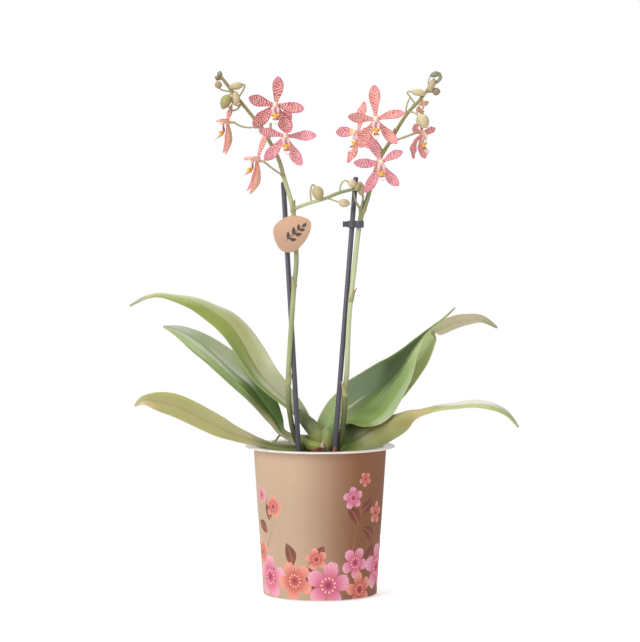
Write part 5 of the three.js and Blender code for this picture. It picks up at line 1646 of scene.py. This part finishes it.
class MakeCrown(bpy.types.Operator):
    """Short stem with its clasping leaf bases, and the roots"""

    bl_idname = "orchid.make_crown"
    bl_label = "Crown and roots"

    def execute(self, context):
        looks = context.scene.orchid_leaves
        skin, sheaths, roots = Skin(), Skin(), Skin()
        turns = np.linspace(0.03, np.pi - 0.03, 30)[:, None]
        around = circle(40)
        fold = np.sin(turns) * (1 + 0.03 * np.sin(7 * around) * np.sin(turns))
        ball = side_by_side(fold * np.cos(around), fold * np.sin(around), np.cos(turns))
        for spot, size, lean in CROWN_LOBES:
            skin.loft(ball * size @ spin_matrix(0, 0, math.radians(lean)).T + spot)
        made = skin.piece("crown_leaf_bases", [crown_finish(looks)], "crown_green", ["crown"])
        melt = made.modifiers.new("melt", "REMESH")
        melt.mode, melt.voxel_size, melt.use_smooth_shade = "VOXEL", CROWN_VOXEL * MM, True
        ease = made.modifiers.new("ease", "SMOOTH")
        ease.factor, ease.iterations = 0.5, 3
        bake_modifiers(made)
        finishes = []
        for k, (rows, thickness, low, high) in enumerate(SHEATHS):
            wave = margin_wave(k, 0.25, 1.6)
            sheaths.blade(rows, thickness, SHEATH_STEPS, k, 4.0 + k, keel=0.3, bow=2, ripple=wave)
            finishes.append(sheath_finish(f"leaf_base_{k}", low, high))
        sheaths.blade(SHEATH_SKIN, 0.5, 16, len(SHEATHS), 8.0, bow=2, ripple=margin_wave(5, 0.4, 2))
        finishes.append(sheath_finish("leaf_base_skin", "#b39a86", "#c6ac98"))
        sheaths.piece("crown_sheaths", finishes, "crown_green")

        def knobs(share, angles):
            return 1 + 0.06 * np.sin(3 * angles + 20 * share)

        for k, rows in enumerate(ROOTS):
            roots.limb(rows, ROOT_STEPS, 16, 0, 1.0 + k, swell=knobs)
        roots.piece("crown_roots", [root_finish(looks)], "crown_green")
        return {"FINISHED"}


class MakeLeaves(bpy.types.Operator):
    """Six strap leaves with their midribs"""

    bl_idname = "orchid.make_leaves"
    bl_label = "Leaves"

    def execute(self, context):
        looks = context.scene.orchid_leaves
        for k, (name, rows) in enumerate(LEAVES.items()):
            skin = Skin()
            skin.blade(
                rows, looks.thickness / MM, LEAF_STEPS, seed=2.0 + 3 * k, groove=0.5, keel=0.5,
                ripple=margin_wave(k, 0.35, 3.2), bow=2 if name == "leaf_right_big" else 1.5,
            )
            finish = leaf_finish(f"{name}_green", looks, *LEAF_GREENS[name])
            skin.piece(f"{name}_blade", [finish], "leaf_green", [name])
        return {"FINISHED"}


class MakeFlowerStems(bpy.types.Operator):
    """Two flower stems with side branches, bracts, stalks and buds"""

    bl_idname = "orchid.make_flower_stems"
    bl_label = "Flower stems"

    def execute(self, context):
        looks = context.scene.orchid_flowers
        finishes = [stem_finish(looks), bud_finish(looks), bract_finish(), stalk_finish()]
        left, right = Skin(), Skin()
        spike(left, "left", LEFT_BRANCH, LEFT_BUDS, LEFT_BRACTS, LEFT_STALKS)
        spike(right, "right", RIGHT_BRANCH, RIGHT_BUDS, RIGHT_BRACTS, RIGHT_STALKS)
        left.piece("flower_stem_left", finishes, "stem_green", ["spike_left"])
        right.piece("flower_stem_right", finishes, "stem_green", ["spike_right"])
        return {"FINISHED"}


class MakeFlowers(bpy.types.Operator):
    """Nine flowers: barred sepals and petals round a column"""

    bl_idname = "orchid.make_flowers"
    bl_label = "Flowers"

    def execute(self, context):
        looks = context.scene.orchid_flowers
        tones = {name: tepal_finish(f"tepal_{name}", looks, tone) for name, tone in TEPAL_TONES.items()}
        others = [
            column_finish(), plain_petal_finish("column_foot", "#ecb7bb", "#b0566e", "#dd9aa8"),
            plain_petal_finish("column_wing", "#f4d6cd", "#f3cdd2", "#f6ddd4"),
            plain_petal_finish("flower_neck", "#e2b096", "#bfbf8c", "#e2b096"),
            tepal_finish("tepal_bare_rose", looks, "#c95f80", 0.9),
        ]
        for k, bloom in enumerate(BLOOMS, 1):
            skin = Skin()
            flower(skin, bloom, 10.0 * k, looks.tepal_thickness / MM)
            skin.pose(bloom_matrix(bloom))
            skin.piece(f"flower_{k}", [tones[bloom.tone], *others], "bloom_pink", [f"bloom_{k}"])
        return {"FINISHED"}


class MakeLips(bpy.types.Operator):
    """Nine yellow lips with dark specks and pale tips"""

    bl_idname = "orchid.make_lips"
    bl_label = "Lips"

    def execute(self, context):
        looks = context.scene.orchid_flowers
        yellows = [lip_yellow_finish(looks, name) for name in ("lip_side_lobes", "lip_callus")]
        finishes = [lip_lobe_finish(looks), *yellows]
        for k, bloom in enumerate(BLOOMS, 1):
            skin = Skin()
            lip(skin, 10.0 * k, looks.lip_thickness / MM)
            skin.pose(bloom_matrix(bloom))
            skin.piece(f"flower_lip_{k}", finishes, "lip_yellow", [f"lip_{k}"])
        return {"FINISHED"}


class MakeStakes(bpy.types.Operator):
    """Two plastic stakes with chamfered tops"""

    bl_idname = "orchid.make_stakes"
    bl_label = "Stakes"

    def execute(self, context):
        finish = stake_finish(context.scene.orchid_pot, "stake_plastic")
        for side, (x, y, top) in STAKE_TOPS.items():
            profile = [
                (0.5, STAKE_FOOT_Z), (STAKE_RADIUS, STAKE_FOOT_Z + 0.6), (STAKE_RADIUS, top - STAKE_TAPER),
                (STAKE_RADIUS - 0.45, top - 0.35), (STAKE_RADIUS - 1.1, top),
            ]
            middles = [[[x - STAKE_LEANS[side] * (top - z), y, 0]] for _, z in profile]
            skin = Skin()
            skin.loft(turned_rings(profile, STAKE_SIDES) + middles)
            skin.piece(f"support_stake_{side}", [finish], "stake_plastic", [f"stake_{side}"], sharp=30)
        return {"FINISHED"}


class MakeClips(bpy.types.Operator):
    """Clips that hold the stems to the stakes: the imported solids, with smooth shading"""

    bl_idname = "orchid.make_clips"
    bl_label = "Clips"

    def execute(self, context):
        finish = stake_finish(context.scene.orchid_pot, "clip_plastic")
        for name in ("stake_clip", "tag_clip"):
            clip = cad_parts[name]
            clip.data.materials.clear()
            clip.data.materials.append(finish)
            clip.data.polygons.foreach_set("use_smooth", [True] * len(clip.data.polygons))
            clip.data.set_sharp_from_angle(angle=math.radians(35))
        return {"FINISHED"}


class MakeTag(bpy.types.Operator):
    """Thin wooden tag with a printed sprig"""

    bl_idname = "orchid.make_tag"
    bl_label = "Tag"

    def execute(self, context):
        outline = tag_outline(TAG_STEPS)
        reach = np.linalg.norm(outline, axis=1, keepdims=True)
        half = TAG_THICKNESS / 2
        edge = [(-half, TAG_BEVEL), (-half + 0.08, 0.08), (-half + TAG_BEVEL, 0)]
        edge += [(-depth, inset) for depth, inset in edge[::-1]]
        loops = [(outline * (1 - inset / reach), depth) for depth, inset in edge]
        skin = Skin()
        skin.loft([side_by_side(loop[:, 0], depth, loop[:, 1]) + TAG_MIDDLE for loop, depth in loops])
        skin.piece("wooden_tag", [wood_finish(context.scene.orchid_pot)], "tag_wood", ["tag"], sharp=35)
        return {"FINISHED"}


class MakeStage(bpy.types.Operator):
    """Pale floor, soft light and the camera"""

    bl_idname = "orchid.make_stage"
    bl_label = "Stage"

    def execute(self, context):
        looks = context.scene.orchid_stage
        scene = context.scene
        scene.view_settings.view_transform = "Standard"
        self.floor()
        self.world(scene)
        for (name, (spot, size)), power in zip(LAMPS.items(), (looks.key, looks.fill, looks.top)):
            light = bpy.data.lights.new(name, "AREA")
            light.size, light.energy = size, power
            self.aim(place_object(name, light), spot, LAMP_AIM)
        view = bpy.data.cameras.new("camera")
        view.lens, view.clip_end = looks.lens, 50
        scene.camera = place_object("camera", view)
        self.aim(scene.camera, (0, -looks.distance, looks.height), looks.aim)
        return {"FINISHED"}

    def aim(self, made, spot, height):
        """Puts a light or the camera at a spot and turns it to a height on the plant's axis."""
        made.location = spot
        made.rotation_euler = (Vector((0, 0, height)) - made.location).to_track_quat("-Z", "Y").to_euler()

    def floor(self):
        """A round floor that fades into the white behind it."""
        finish = Finish(
            "floor_white", specular=0.1, roughness=0.85, Emission_Strength=0.3, Emission_Color=(1, 1, 1),
        )
        x, y, _ = finish.parts(finish.place_mm())
        finish.colour = finish.mix(finish.noise(finish.combine(x, y), 0.01), "#fbfbfb", "#f7f7f7")
        finish.wear()
        faded = x.fit(x, y * y).sum("SQRT").rise(220, 620)
        clear = finish.value("ShaderNodeBsdfTransparent")
        solid = Value(finish, finish.shader.outputs[0])
        blend = finish.value("ShaderNodeMixShader", {0: faded, 1: solid, 2: clear})
        finish.feed(finish.tree.nodes["Material Output"].inputs[0], blend)
        mesh = bpy.data.meshes.new("floor")
        ring = [(FLOOR_RADIUS * math.cos(a), FLOOR_RADIUS * math.sin(a), 0) for a in circle(FLOOR_SIDES)]
        mesh.from_pydata(ring, [], [tuple(range(FLOOR_SIDES))])
        mesh.materials.append(finish.material)
        floor = place_object("floor", mesh)

    def world(self, scene):
        """Even white behind the plant, and soft light that is stronger from the left."""
        world = bpy.data.worlds.new("studio")
        world.use_nodes = True
        wiring = Wiring(world.node_tree)
        sky = world.node_tree.nodes["Background"].inputs
        x = wiring.parts(wiring.value("ShaderNodeTexCoord", output="Generated"))[0]
        seen = wiring.value("ShaderNodeLightPath", output="Is Camera Ray")
        light = x.rise(-0.7, 0.8).swing(0.72, 0.42)
        wiring.feed(sky["Strength"], wiring.value("ShaderNodeMix", {0: seen, 2: light, 3: 1.0}))
        wiring.feed(sky["Color"], (1, 1, 1))
        scene.world = world


class OrchidPanel(bpy.types.Panel):
    """Lists the pieces of the plant and their settings"""

    bl_idname = "VIEW3D_PT_orchid"
    bl_label = "Potted moth orchid"
    bl_space_type = "VIEW_3D"
    bl_region_type = "UI"
    bl_category = "Orchid"

    def draw(self, context):
        for operator in OPERATORS:
            self.layout.operator(operator.bl_idname)
        for name in SETTINGS:
            group = getattr(context.scene, name)
            box = self.layout.box()
            for key in group.bl_rna.properties.keys():
                if key not in {"rna_type", "name"}:
                    box.prop(group, key)


OPERATORS = (
    MakePot, MakeSleeve, MakeBark, MakeCrown, MakeLeaves, MakeFlowerStems, MakeFlowers, MakeLips,
    MakeStakes, MakeClips, MakeTag, MakeStage,
)
SETTINGS = {
    "orchid_pot": PotLooks, "orchid_leaves": LeafLooks,
    "orchid_flowers": FlowerLooks, "orchid_stage": StageLooks,
}


def register():
    """Registers the settings, operators and panel."""
    for known in (*SETTINGS.values(), *OPERATORS, OrchidPanel):
        bpy.utils.register_class(known)
    for name, group in SETTINGS.items():
        setattr(bpy.types.Scene, name, bpy.props.PointerProperty(type=group))


def unregister():
    """Takes the settings, operators and panel away again."""
    for name in SETTINGS:
        delattr(bpy.types.Scene, name)
    for known in (OrchidPanel, *OPERATORS[::-1], *SETTINGS.values()):
        bpy.utils.unregister_class(known)


def main():
    """Builds every piece."""
    register()
    for operator in OPERATORS:
        group, name = operator.bl_idname.split(".")
        getattr(getattr(bpy.ops, group), name)()


if __name__ == "__main__":
    main()
